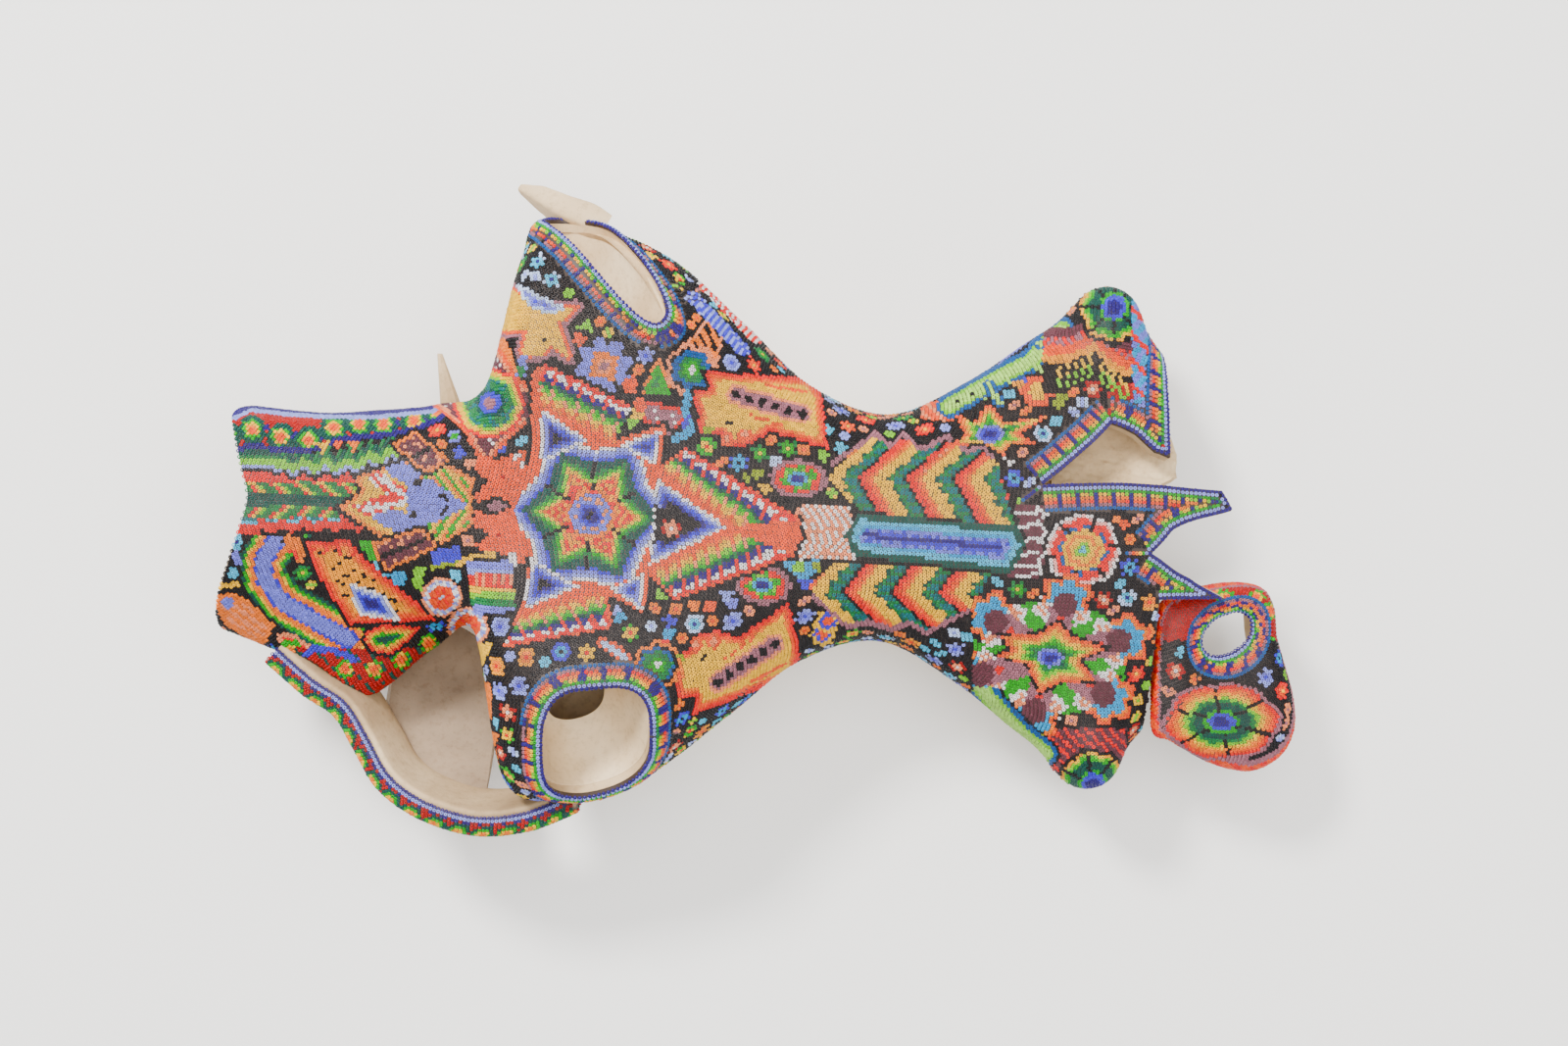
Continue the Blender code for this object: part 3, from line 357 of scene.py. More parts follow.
def rows_on(surface, first, second, limit):
    """Places of beads in straight rows over a surface, counted from second[0], with their row and mark."""
    points = surface(*np.meshgrid(first, second, indexing="ij"))
    arc = np.cumsum(np.linalg.norm(np.diff(points, axis=1), axis=2), axis=1)
    arc = np.concatenate([np.zeros((len(first), 1)), arc], axis=1)
    beads, numbers, distances = [], [], []
    for row in range(int(limit / ROW)):
        reach = row * ROW
        line = np.array([np.interp(reach, arc[i], second, right=np.nan) for i in range(len(first))])
        usable = np.isfinite(line)
        filled = np.where(usable, line, second[-1])
        path = surface(first, filled)
        length = np.concatenate([[0], np.cumsum(np.linalg.norm(np.diff(path, axis=0), axis=1))])
        marks = np.arange((row % 2) * PITCH / 2, length[-1], PITCH)
        marks = marks[np.interp(marks, length, usable.astype(float)) > 0.99]
        beads.append(np.column_stack([np.interp(marks, length, first), np.interp(marks, length, filled)]))
        numbers.append(np.full(len(marks), row))
        distances.append(marks)
    return np.concatenate(beads), np.concatenate(numbers), np.concatenate(distances)


collars = {
    "left": collar(socket_edge("left")),
    "right": collar(socket_edge("right")),
    "nose": collar(nose_edge()),
}
along_fine = np.linspace(0, 16, 801)
field = np.concatenate([
    rows_on(skin, along_fine, sign * np.linspace(0, BEAD_EDGE + 0.15, 180), 0.2)[0] for sign in (1, -1)
])
field = field[in_field(*field.T)]
field_points = skin(field[:, 0], field[:, 1])


def outward(surface, first, second, up=None, centre=None):
    """Unit normals of a surface, pointing out of the skull."""
    points = surface(first, second)
    normals = normals_of(surface, first, second)
    if centre is None:
        return points, normals * np.sign(normals[:, 2].mean())
    return points, normals * np.sign(((points - centre) * normals).sum(axis=1, keepdims=True))


skin_beads = [(skin(*beads.T), normals_of(skin, *beads.T), rows, marks, beads)
              for beads, rows, marks, _ in collars.values()]
skin_kind = [np.full(len(beads), number) for number, (beads, _, _, _) in enumerate(collars.values(), 1)]
lone = np.full(len(field), -1)
skin_beads.append((field_points, normals_of(skin, *field.T), lone, lone * 1.0, field))
skin_kind.append(np.zeros(len(field), int))

round_rings = np.linspace(0, 20, 500)
rim_places, rim_rows, rim_marks = rows_on(lambda a, b: premaxilla(b, a), round_rings,
                                          np.linspace(0, 5, 240), 0.2)
rim_points, rim_normals = outward(premaxilla, rim_places[:, 1], rim_places[:, 0])
arch_places, arch_rows, arch_marks = rows_on(arch, np.linspace(0, 8, 600), np.linspace(-0.8, 4.8, 200), 0.2)
path = sheet_of(np.array(ARCH)[:, None].repeat(4, 1), wrap=False)
arch_points, arch_normals = outward(arch, *arch_places.T,
                                    centre=path(arch_places[:, 0], arch_places[:, 0] * 0))

SKIN, PREMAX, ARCH_PART = 0, 1, 2
points = np.concatenate([b[0] for b in skin_beads] + [rim_points, arch_points])
normals = np.concatenate([b[1] for b in skin_beads] + [rim_normals, arch_normals])
rows = np.concatenate([b[2] for b in skin_beads] + [rim_rows, arch_rows])
marks = np.concatenate([b[3] for b in skin_beads] + [rim_marks, arch_marks])
places = np.concatenate([b[4] for b in skin_beads] + [rim_places, arch_places])
kinds = np.concatenate(skin_kind + [np.zeros(len(rim_points), int), np.zeros(len(arch_points), int)])
parts = np.concatenate([np.full(sum(len(b[0]) for b in skin_beads), SKIN),
                        np.full(len(rim_points), PREMAX), np.full(len(arch_points), ARCH_PART)])


def bvh_of(node):
    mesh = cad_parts[node].data
    corners = [Vector(v.co) - Vector(SHIFT) for v in mesh.vertices]
    return BVHTree.FromPolygons(corners, [tuple(p.vertices) for p in mesh.polygons])


def buried(tree, points, margin):
    """Which points lie inside a closed piece, or nearer to it than a margin."""
    found = [tree.find_nearest(Vector(point)) for point in points]
    return np.array([f[0] is not None and ((Vector(p) - f[0]).dot(f[1]) < 0 or f[3] < margin)
                     and f[3] < 0.03 for f, p in zip(found, points)])


near_arch = (parts == SKIN) & (places[:, 1] < -2) & (places[:, 0] < 8)
hidden = np.zeros(len(points), bool)
hidden[near_arch] = buried(bvh_of("bone_arch_right"), points[near_arch], 0.0012)
is_arch = parts == ARCH_PART
for node in ("beads_braincase", "beads_eye_socket_right", "bone_eye_socket_right", "bone_braincase"):
    hidden[is_arch] |= buried(bvh_of(node), points[is_arch], 0.0006)


NEARBY = [(x, y, z) for x in (-1, 0, 1) for y in (-1, 0, 1) for z in (-1, 0, 1)]


def thinned(points, order):
    """Leaves out beads that would overlap one already placed."""
    cells, kept = {}, []
    for index in order:
        point = points[index]
        x, y, z = (int(c) for c in np.floor(point / CLOSEST))
        others = [other for dx, dy, dz in NEARBY for other in cells.get((x + dx, y + dy, z + dz), ())]
        if all(np.sum((points[other] - point) ** 2) >= CLOSEST**2 for other in others):
            cells.setdefault((x, y, z), []).append(index)
            kept.append(index)
    return np.array(kept)


kept = thinned(points, np.flatnonzero(~hidden))
points, normals, rows, marks, places, kinds, parts = (
    a[kept] for a in (points, normals, rows, marks, places, kinds, parts)
)

# ---------------------------------------------------------------- the pattern, in millimetres on a plane
TURN = math.radians(2.7)  # the skull lies turned by this much under the viewer
VIEW_HEIGHT, PLANE_HEIGHT = 1.15, 0.165
COLOURS = {
    "black": (16, 14, 17), "navy": (40, 26, 104), "royal": (64, 58, 186), "lilac": (122, 124, 206),
    "haze": (150, 158, 220), "pale": (196, 210, 238), "aqua": (112, 186, 214), "sky": (70, 156, 200),
    "steel": (44, 84, 140), "teal": (20, 104, 108), "pine": (14, 74, 66), "fern": (30, 118, 76),
    "leaf": (74, 160, 66), "lime": (146, 200, 84), "mint": (186, 224, 142), "olive": (150, 164, 36),
    "yellow": (252, 194, 4), "gold": (252, 166, 6), "orange": (248, 136, 14), "flame": (246, 104, 16),
    "red": (214, 34, 30), "crimson": (158, 22, 34), "maroon": (92, 54, 62), "mauve": (150, 106, 116),
    "salmon": (236, 152, 122), "pink": (232, 176, 170), "white": (240, 236, 236),
}
NAMES = list(COLOURS)
spread = (1 + (PLANE_HEIGHT - points[:, 2]) / VIEW_HEIGHT) / 1000
U = (points[:, 0] * math.cos(TURN) + points[:, 1] * math.sin(TURN)) / spread
V = (points[:, 1] * math.cos(TURN) - points[:, 0] * math.sin(TURN)) / spread
ink = np.zeros(len(points), int)
anywhere = np.ones(len(points), bool)
on_skin = parts == SKIN
free = kinds == 0


def paint(mask, colour):
    """Gives the masked beads a colour."""
    ink[mask] = NAMES.index(colour)


def paint_bands(value, mask, bands):
    """Paints by a value: (upper bound, colour), in rising order."""
    low = -np.inf
    for high, colour in bands:
        paint(mask & (value >= low) & (value < high), colour)
        low = high


def poly(*corners):
    """Beads inside a polygon."""
    hit = np.zeros(len(U), bool)
    for (x0, y0), (x1, y1) in zip(corners, corners[1:] + corners[:1]):
        if y0 != y1:
            crossing = ((V >= y0) != (V >= y1)) & (U < (x1 - x0) * (V - y0) / (y1 - y0) + x0)
            hit ^= crossing
    return hit


def distance_to(*corners, closed=False):
    """Distance of each bead from a broken line."""
    best = np.full(len(U), np.inf)
    ends = corners[1:] + (corners[:1] if closed else ())
    for (x0, y0), (x1, y1) in zip(corners, ends):
        dx, dy = x1 - x0, y1 - y0
        share = np.clip(((U - x0) * dx + (V - y0) * dy) / (dx * dx + dy * dy), 0, 1)
        best = np.minimum(best, np.hypot(U - x0 - share * dx, V - y0 - share * dy))
    return best


def line(*corners, width=2.0, closed=False):
    return distance_to(*corners, closed=closed) < width / 2


def depth_in(*corners):
    """Distance of each bead from the border of a polygon, positive inside."""
    return np.where(poly(*corners), 1, -1) * distance_to(*corners, closed=True)


def radius(x, y, wide=1.0, tall=1.0, turn=0.0):
    """Distance from a point, with an oval measure."""
    c, s = math.cos(math.radians(turn)), math.sin(math.radians(turn))
    a, b = (U - x) * c + (V - y) * s, (V - y) * c - (U - x) * s
    return np.hypot(a / wide, b / tall)


def bearing(x, y):
    return np.degrees(np.arctan2(V - y, U - x)) % 360


def star_reach(x, y, count, tip, valley, turn=0.0, squash=1.0):
    """1 on the outline of a pointed star, less inside it."""
    angle = np.degrees(np.arctan2((V - y) / squash, U - x)) - turn
    part = np.abs((angle + 180 / count) % (360 / count) - 180 / count)
    a = np.radians(part)
    half = math.pi / count
    x0, y0, x1, y1 = tip, 0.0, valley * math.cos(half), valley * math.sin(half)
    edge = (x0 * y1 - x1 * y0) / ((y1 - y0) * np.cos(a) - (x1 - x0) * np.sin(a))
    return np.hypot(U - x, (V - y) / squash) / edge


def petal_reach(x, y, count, outer, dent, turn=0.0, squash=1.0):
    """1 on the outline of a round-petalled flower."""
    angle = np.radians(np.degrees(np.arctan2((V - y) / squash, U - x)) - turn)
    edge = outer * (1 - dent * (1 - np.abs(np.cos(angle * count / 2))))
    return np.hypot(U - x, (V - y) / squash) / edge


def spokes(x, y, count, start, end, turn=0.0, width=1.6, squash=1.0):
    """Beads on straight lines that run out from a middle."""
    mask = np.zeros(len(U), bool)
    for k in range(count):
        angle = math.radians(turn + 360 * k / count)
        c, s = math.cos(angle), math.sin(angle) * squash
        mask |= line((x + start * c, y + start * s), (x + end * c, y + end * s), width=width)
    return mask


def flower(x, y, outer, bands, count=6, dent=0.2, turn=0.0, squash=1.0, spoke=None, where=anywhere):
    reach = petal_reach(x, y, count, outer, dent, turn, squash)
    paint_bands(reach, where & (reach < 1), bands)
    if spoke:
        lines = spokes(x, y, count, outer * spoke, outer, turn + 180 / count, 1.5, squash)
        paint(where & (reach < 1) & lines, "black")


def star(x, y, count, tip, valley, bands, turn=0.0, where=anywhere):
    reach = star_reach(x, y, count, tip, valley, turn)
    paint_bands(reach, where & (reach < 1), bands)


def between(inner0, inner1, outer0, outer1):
    """Beads of a strip between two lines, with their share across it and distance along it."""
    mask = poly(inner0, inner1, outer1, outer0)
    a, b = distance_to(inner0, inner1), distance_to(outer0, outer1)
    way = np.array(inner1) - np.array(inner0)
    way = way / np.linalg.norm(way)
    return mask, a / np.maximum(a + b, 1e-6), (U - inner0[0]) * way[0] + (V - inner0[1]) * way[1]


def ticked_strip(inner0, inner1, outer0, outer1, period=7.2, slant=0.0):
    """Rainbow strip: bands from orange to white across it, broken by red ticks along it."""
    mask, share, along = between(inner0, inner1, outer0, outer1)
    paint_bands(share, mask, ((0.07, "flame"), (0.18, "orange"), (0.34, "yellow"), (0.44, "lime"),
                              (0.54, "leaf"), (0.64, "pine"), (0.78, "navy"), (0.92, "white"), (2, "red")))
    phase = (along + share * slant) % period / period
    paint_bands(share, mask & (phase < 0.3), ((0.3, "flame"), (0.52, "salmon"), (0.62, "fern"), (2, "red")))


def collar_pattern(mask, rows, marks, period=0.0118):
    """The rainbow blocks round each opening, by bead row from its bare edge."""
    phase = marks % period / period
    block = phase > 0.3
    order = ("navy", "haze", "leaf", "yellow", "orange", "flame", "mauve", "steel")
    for row, colour in enumerate(order):
        paint(mask & (rows == row), colour)
    for row, colour in ((2, "fern"), (3, "navy"), (4, "navy"), (5, "navy"), (6, "navy")):
        paint(mask & (rows == row) & ~block, colour)
    paint(mask & (rows == 3) & block & (phase > 0.7), "lime")
    paint(mask & (rows == 5) & block & (phase > 0.7), "red")


def fire_star(x, y, size=1.0, where=anywhere):
    """A small orange star ringed in yellow and green."""
    reach = star_reach(x, y, 8, 6.2 * size, 4.4 * size)
    paint_bands(reach, where & (reach < 1),
                ((0.38, "flame"), (0.55, "orange"), (0.72, "yellow"), (1.1, "leaf")))


def dots(spots, size, colour, where=anywhere):
    for x, y in spots:
        paint(where & (radius(x, y) < size), colour)


def paint_braincase():
    """Bands along the top and sides of the back of the head."""
    zone = on_skin & (U < -150)
    top = ((-300, 53), (-280.5, 56.5), (-271.8, 60.5), (-254, 58.5), (-234, 57), (-207.5, 57),
           (-179.4, 60), (-160, 68))
    low = ((-300, 33), (-283.1, 35.9), (-273.2, 40.3), (-252.5, 36.9), (-239.6, 37.9), (-225.8, 43.3),
           (-206, 45.3), (-190.2, 47.7), (-176.4, 53.7), (-163, 64))
    above = V - np.interp(U, *zip(*low))
    paint(zone & (above > 0), "crimson")
    paint(zone & (above > 1.8) & (above < 4) & ((U % 13) < 6), "flame")
    for x, y in ((-284.5, 45.2), (-271.3, 48), (-256.9, 44.3), (-242.6, 42.8), (-229.8, 49.2),
                 (-216.9, 51.2), (-204.5, 51), (-189, 52.6), (-177.4, 57.6)):
        paint(zone & (above > 0) & (radius(x, y) < 7.2), "pine")
        fire_star(x, y, 0.95, zone & (above > 0))
        paint(zone & (above > 0) & (radius(x + 7.2, y + 1) < 1.6), "navy")
    fall = np.interp(U, *zip(*top)) - V
    paint(zone & (above > 0) & (fall < 3.6), "haze")
    paint(zone & (above > 0) & (fall < 1.6), "navy")
    paint(zone & (np.abs(above) < 1.5), "navy")
    field = zone & (above < -1.5) & (V > 14) & (U < -196)
    saw = np.where(U < -256, 1.5, np.abs((U + 300) % 11 / 11 * 2 - 1) * 4)
    centre = np.interp(U, (-290, -262, -254, -222, -196), (33.5, 33, 30.5, 31, 38))
    off = centre - V + saw - 2
    paint_bands(off, field, ((-6, "black"), (-2.6, "pine"), (-1.2, "fern"), (3.2, "lime"), (5.2, "haze"),
                             (7, "black"), (11, "red"), (12.6, "aqua"), (14, "teal"), (100, "fern")))
    paint(field & (off < -2.6) & ((U + 300) % 5.5 < 2.2) & (U > -250), "fern")
    for x, colour in ((-235.5, "yellow"), (-227.5, "flame"), (-219.5, "orange")):
        paint(poly((x - 3.6, 41.8), (x + 3.6, 42.2), (x, 35.6)), colour)
    for sign in (1, -1):
        side = sign * (V - np.interp(U, (-290, -200), (12.2, 10.6)))
        bottom = zone & (side > 0) & (U < -205) & (side < 9.5)
        paint(bottom, "fern")
        phase = (U + side * 1.3 + 300) % 12
        paint(bottom & (side > 3) & (phase < 2), "red")
        paint(bottom & (side > 3) & (phase >= 2) & (phase < 4.4), "yellow")
        paint(bottom & (side > 3) & (phase >= 4.4) & (phase < 5.8), "lime")
        paint(bottom & (side < 3), "pine")
    under = zone & (V < 2.6) & (V > -12) & (U < -205)
    saw = np.where(U < -268, 0, np.abs((U + 300) % 11 / 11 * 2 - 1) * 3)
    paint_bands(np.interp(U, (-290, -270, -205), (3.5, 2.2, 3.0)) - V + saw, under,
                ((1.6, "teal"), (3, "aqua"), (8, "red"), (9.8, "black"), (100, "black")))


def paint_head_side():
    """Snake, feathered shape and small flowers low on the right of the head."""
    zone = on_skin & (V < 0)
    ground = zone & (U < -172) & (V < -8)
    paint(ground, "black")
    snake = ((-252.5, -5), (-260, -10.5), (-265.8, -19), (-265, -29), (-255.5, -41.3), (-239.6, -50.2),
             (-222, -60))
    off = distance_to(*snake)
    paint_bands(off, zone & (V < -6.7), ((3.6, "lilac"), (4.6, "royal"), (7.2, "orange"), (8.4, "yellow"),
                                         (10.2, "leaf"), (11.4, "pine")))
    paint(zone & line((-253, -8), (-248.6, -12), (-247, -18), width=5), "orange")
    paint(zone & line((-251.5, -14), (-249, -17.5), width=2.4), "red")
    dots(((-255.6, -10),), 1.2, "black", zone)
    plume = ((-244.6, -9.7), (-221.8, -9), (-213, -19.5), (-191.2, -38), (-176.4, -50), (-221.8, -52.1),
             (-234.7, -32.4), (-242.6, -17.6))
    depth = depth_in(*plume)
    paint(zone & (depth > -1.8), "black")
    paint_bands(depth, zone & (depth > 0), ((2, "red"), (3.6, "flame"), (5.4, "orange"), (40, "gold")))
    paint(zone & (depth > 5) & ((U * 0.5 + V) % 5 < 1.3) & ((U - V) % 9 < 4.5), "black")
    paint(zone & (V > -17) & (depth > 3) & ((U + 300) % 6.5 < 2), "red")
    gem = depth_in((-223.5, -30), (-204, -37), (-195, -50.8), (-217, -47.4))
    paint_bands(gem, zone & (gem > 0), ((1.6, "white"), (3.2, "haze"), (4.8, "royal"), (20, "navy")))
    drop = depth_in((-210, -66), (-214.6, -61), (-213, -55.6), (-206, -52.6), (-196, -52.6), (-186, -53.6),
                    (-193, -62), (-201, -67.5))
    paint(zone & (drop > -1.6), "black")
    paint_bands(drop, zone & (drop > 0),
                ((1.4, "red"), (2.8, "orange"), (4, "yellow"), (5.4, "leaf"), (20, "pine")))
    patch = depth_in((-292, -39), (-283, -35.5), (-273, -40), (-260, -52.5), (-266, -64), (-286, -52))
    paint(zone & (patch > -1.5), "black")
    paint(zone & (patch > 0), "orange")
    paint(zone & (patch > 2.6) & ((U + 1.4 * V) % 6 < 3.2), "salmon")
    paint(zone & (patch > 2.6) & (radius(-284, -41.5) < 3), "lilac")
    flower(-280.6, -9.8, 5, ((0.3, "navy"), (1, "aqua")), 5, 0.4, where=zone)
    dots(((-279.7, -16.5), (-278.5, -20)), 2.4, "lilac", zone)
    paint(zone & (np.abs(U + 280.7) < 2.6) & (np.abs(V + 25.9) < 2.4), "aqua")
    paint(zone & line((-291, -33), (-279, -31.6), width=2.6), "yellow")
    fringe = depth_in((-260, -56.5), (-250, -57), (-236, -67), (-238, -74), (-254, -68))
    paint_bands(fringe, zone & (fringe > 0), ((2.2, "salmon"), (30, "red")))
    flower(-251.5, -66.5, 7, ((0.35, "orange"), (0.6, "yellow"), (1, "leaf")), 6, 0.2, where=zone)
    dots(((-244.6, -66.8),), 2, "white", zone)
    rim = zone & (V < -64) & (U > -250) & (U < -168)
    paint(rim & ~(drop > -1.6), "crimson")
    paint(rim & ~(drop > -1.6) & ((U + V) % 9 < 2), "pine")
    for x, y in ((-239, -78), (-224, -75), (-209, -75), (-195, -70), (-181, -62)):
        fire_star(x, y, 0.9, zone & ~(drop > -1.6))
    brow = ((-249, -71), (-240, -64), (-230, -65.5), (-219, -70))
    paint(zone & line(*brow, width=3.4), "royal")


def paint_bird():
    """Two-headed bird on a yellow field, with two dark bars."""
    field = depth_in((-227.8, 7.5), (-215.9, 16.1), (-218.9, 24), (-191.2, 32.9), (-171.4, 29.9),
                     (-158.6, 23), (-159.6, -1.7), (-177.4, -12.6), (-207, -6.7))
    paint(on_skin & (field > -1.7), "black")
    paint_bands(field, on_skin & (field > 0), ((1.6, "orange"), (2.6, "gold"), (80, "yellow")))
    inner = on_skin & (field > 1.5)
    for x0, y0, x1, y1 in ((-181, 26, -161, 15), (-186, -6, -161, 1.5)):
        strip = line((x0, y0), (x1, y1), width=10)
        paint(inner & strip & ((U * 1.2 + V * (0.8 if y0 > 0 else -0.8)) % 7.5 < 2.6), "leaf")
        paint(inner & strip & ((U * 1.2 + V * (0.8 if y0 > 0 else -0.8)) % 7.5 > 5.6), "orange")
    body = poly((-192.5, 19), (-185.3, 23), (-180.3, 22), (-160.8, 8.4), (-177.4, 0.6), (-187.2, -2),
                (-192.5, 4))
    wings = poly((-205, 28.6), (-195.2, 31.4), (-186.7, 26.5), (-184, 20), (-191.2, 19), (-200, 24))
    wings |= poly((-210.5, 3.2), (-202, 6.2), (-192.2, 5.2), (-185, 2.2), (-190.2, -3.2), (-198, -4.7),
                  (-206, -1.2))
    comb = poly((-213, 23.5), (-208, 27), (-191.7, 16.6), (-191.7, 10), (-212, 2.6), (-220.5, 8.7),
                (-203, 14.5))
    paint(on_skin & comb, "red")
    paint(on_skin & (line((-209, 24.5), (-192.7, 13), width=2.4)
                     | line((-214.4, 6.4), (-192.7, 11), width=2.4)), "white")
    paint(on_skin & comb & ((U + V) % 4.2 < 1.8) & (V > 15), "white")
    paint(on_skin & comb & ((U - V) % 4.2 < 1.8) & (V < 10), "white")
    paint(on_skin & (body | wings), "lilac")
    dots(((-187.2, 20.8), (-189.2, 3.4)), 1.9, "black", on_skin)
    for x, y in ((-173.4, 13.2), (-173.8, 6)):
        paint(on_skin & line((x - 2.4, y - (2 if y < 9 else -1.6)), (x + 2.2, y + (1.6 if y < 9 else -2)),
                             width=1.8), "black")
    for bar in (((-200.5, 40.8), (-188.2, 47.4), (-170.4, 31.9), (-183.3, 25)),
                ((-211, -10.6), (-184.3, -2.2), (-176.4, -12.6), (-204, -25.5))):
        depth = depth_in(*bar)
        paint(on_skin & (depth > -1.6), "black")
        paint_bands(depth, on_skin & (depth > 0), ((1.8, "orange"), (80, "maroon")))
        a, b = np.array(bar[0]) + bar[3], np.array(bar[1]) + bar[2]
        paint(on_skin & (depth > 1.8) & line(tuple(a / 2), tuple(b / 2), width=2.2), "black")
        way = (b - a) / np.linalg.norm(b - a)
        run = (U - a[0] / 2) * way[0] + (V - a[1] / 2) * way[1]
        off = np.abs(-(U - a[0] / 2) * way[1] + (V - a[1] / 2) * way[0])
        paint(on_skin & (depth > 2) & (off > 2) & (run % 6 < 2.8) & ((off + run) % 3.6 < 2), "salmon")


def paint_medallion():
    """The large star medallion on the forehead, with its rainbow strips."""
    x, y = -98.8, 4.3
    frame_edge = ((-128.7, 77.9), (-121.2, 80.8), (-78.2, 59.8), (-86, 42.5), (-60, 50.4), (-62.5, 30),
                  (-49.7, 38.5), (7.5, 2.5), (9.8, -6.4), (4.6, -17), (-56, -39.5), (-69, -26),
                  (-71.5, -46.5), (-90, -36), (-87.5, -53.5), (-143.5, -63.5), (-134.6, -44), (-130, -20),
                  (-133.6, -4), (-132.4, 14), (-129.6, 30))
    depth = depth_in(*frame_edge)
    paint(on_skin & (depth > -1.8), "black")
    paint(on_skin & (depth > 0), "flame")
    ticked_strip((-127.3, 60.3), (-86.8, 39.7), (-122.4, 81), (-78, 59.4), slant=6)
    ticked_strip((-63, 26.4), (-27.9, -1.6), (-49.7, 38), (7.4, 1.6), slant=6)
    ticked_strip((-67.9, -22.7), (-27.9, -3.8), (-55.6, -38.7), (4.4, -16.2), slant=6)
    ticked_strip((-133.4, -45.4), (-93.8, -33.4), (-142.6, -62.6), (-88.2, -52.9), slant=-4)
    hexagon = star_reach(x, y, 6, 40, 38.5, turn=26)
    inner = on_skin & (hexagon < 1)
    petals = star_reach(x, y, 6, 34.8, 26.5, turn=-4)
    paint_bands(petals, inner, ((1.06, "royal"), (1.13, "lilac"), (1.2, "haze"), (1.26, "white"),
                                (3, "flame")))
    star(x, y, 6, 34.8, 26.5, ((1, "pine"),), -4, where=on_skin)
    for tip, valley, colour in ((32.4, 24.4, "pine"), (31.4, 21.5, "fern"), (30, 19, "leaf"),
                                (28.2, 17.4, "lime"), (26.6, 16, "yellow"), (24.4, 14.8, "orange"),
                                (22.6, 13.6, "red"), (20, 12.4, "gold"), (17.4, 11.6, "red"),
                                (15.2, 10.8, "orange")):
        star(x, y, 6, tip, valley, ((1, colour),), -4, where=on_skin)
    paint(on_skin & spokes(x, y, 6, 14, 26.8, turn=26, width=1.7), "black")
    ring = radius(x, y)
    paint_bands(ring, on_skin & (ring < 10.6),
                ((1.8, "black"), (4, "navy"), (6, "royal"), (8.4, "lilac"), (10.6, "lilac")))
    paint(on_skin & (ring > 6.4) & (ring < 8.6) & (bearing(x, y) % 45 < 24), "salmon")
    for corners in (
        ((-124.4, 58.5), (-124.4, 30.4), (-99.5, 41.8)),
        ((-84, 39.9), (-62.6, 47.6), (-65, 28.6)),
        ((-128.9, -18), (-133.4, -44.6), (-104.8, -32.4)),
        ((-89, -33.4), (-71.6, -25.6), (-72.2, -44.6)),
        ((-65.3, 23), (-28.6, -2.1), (-69, -21.8)),
    ):
        inside = depth_in(*corners)
        paint_bands(inside, on_skin & (inside > 0),
                    ((1.5, "white"), (2.4, "haze"), (3.4, "lilac"), (5, "royal"), (6.2, "navy"),
                     (30, "black")))
    paint(on_skin & poly((-65.5, 9.6), (-52.6, -0.8), (-66.5, -11.4)), "black")


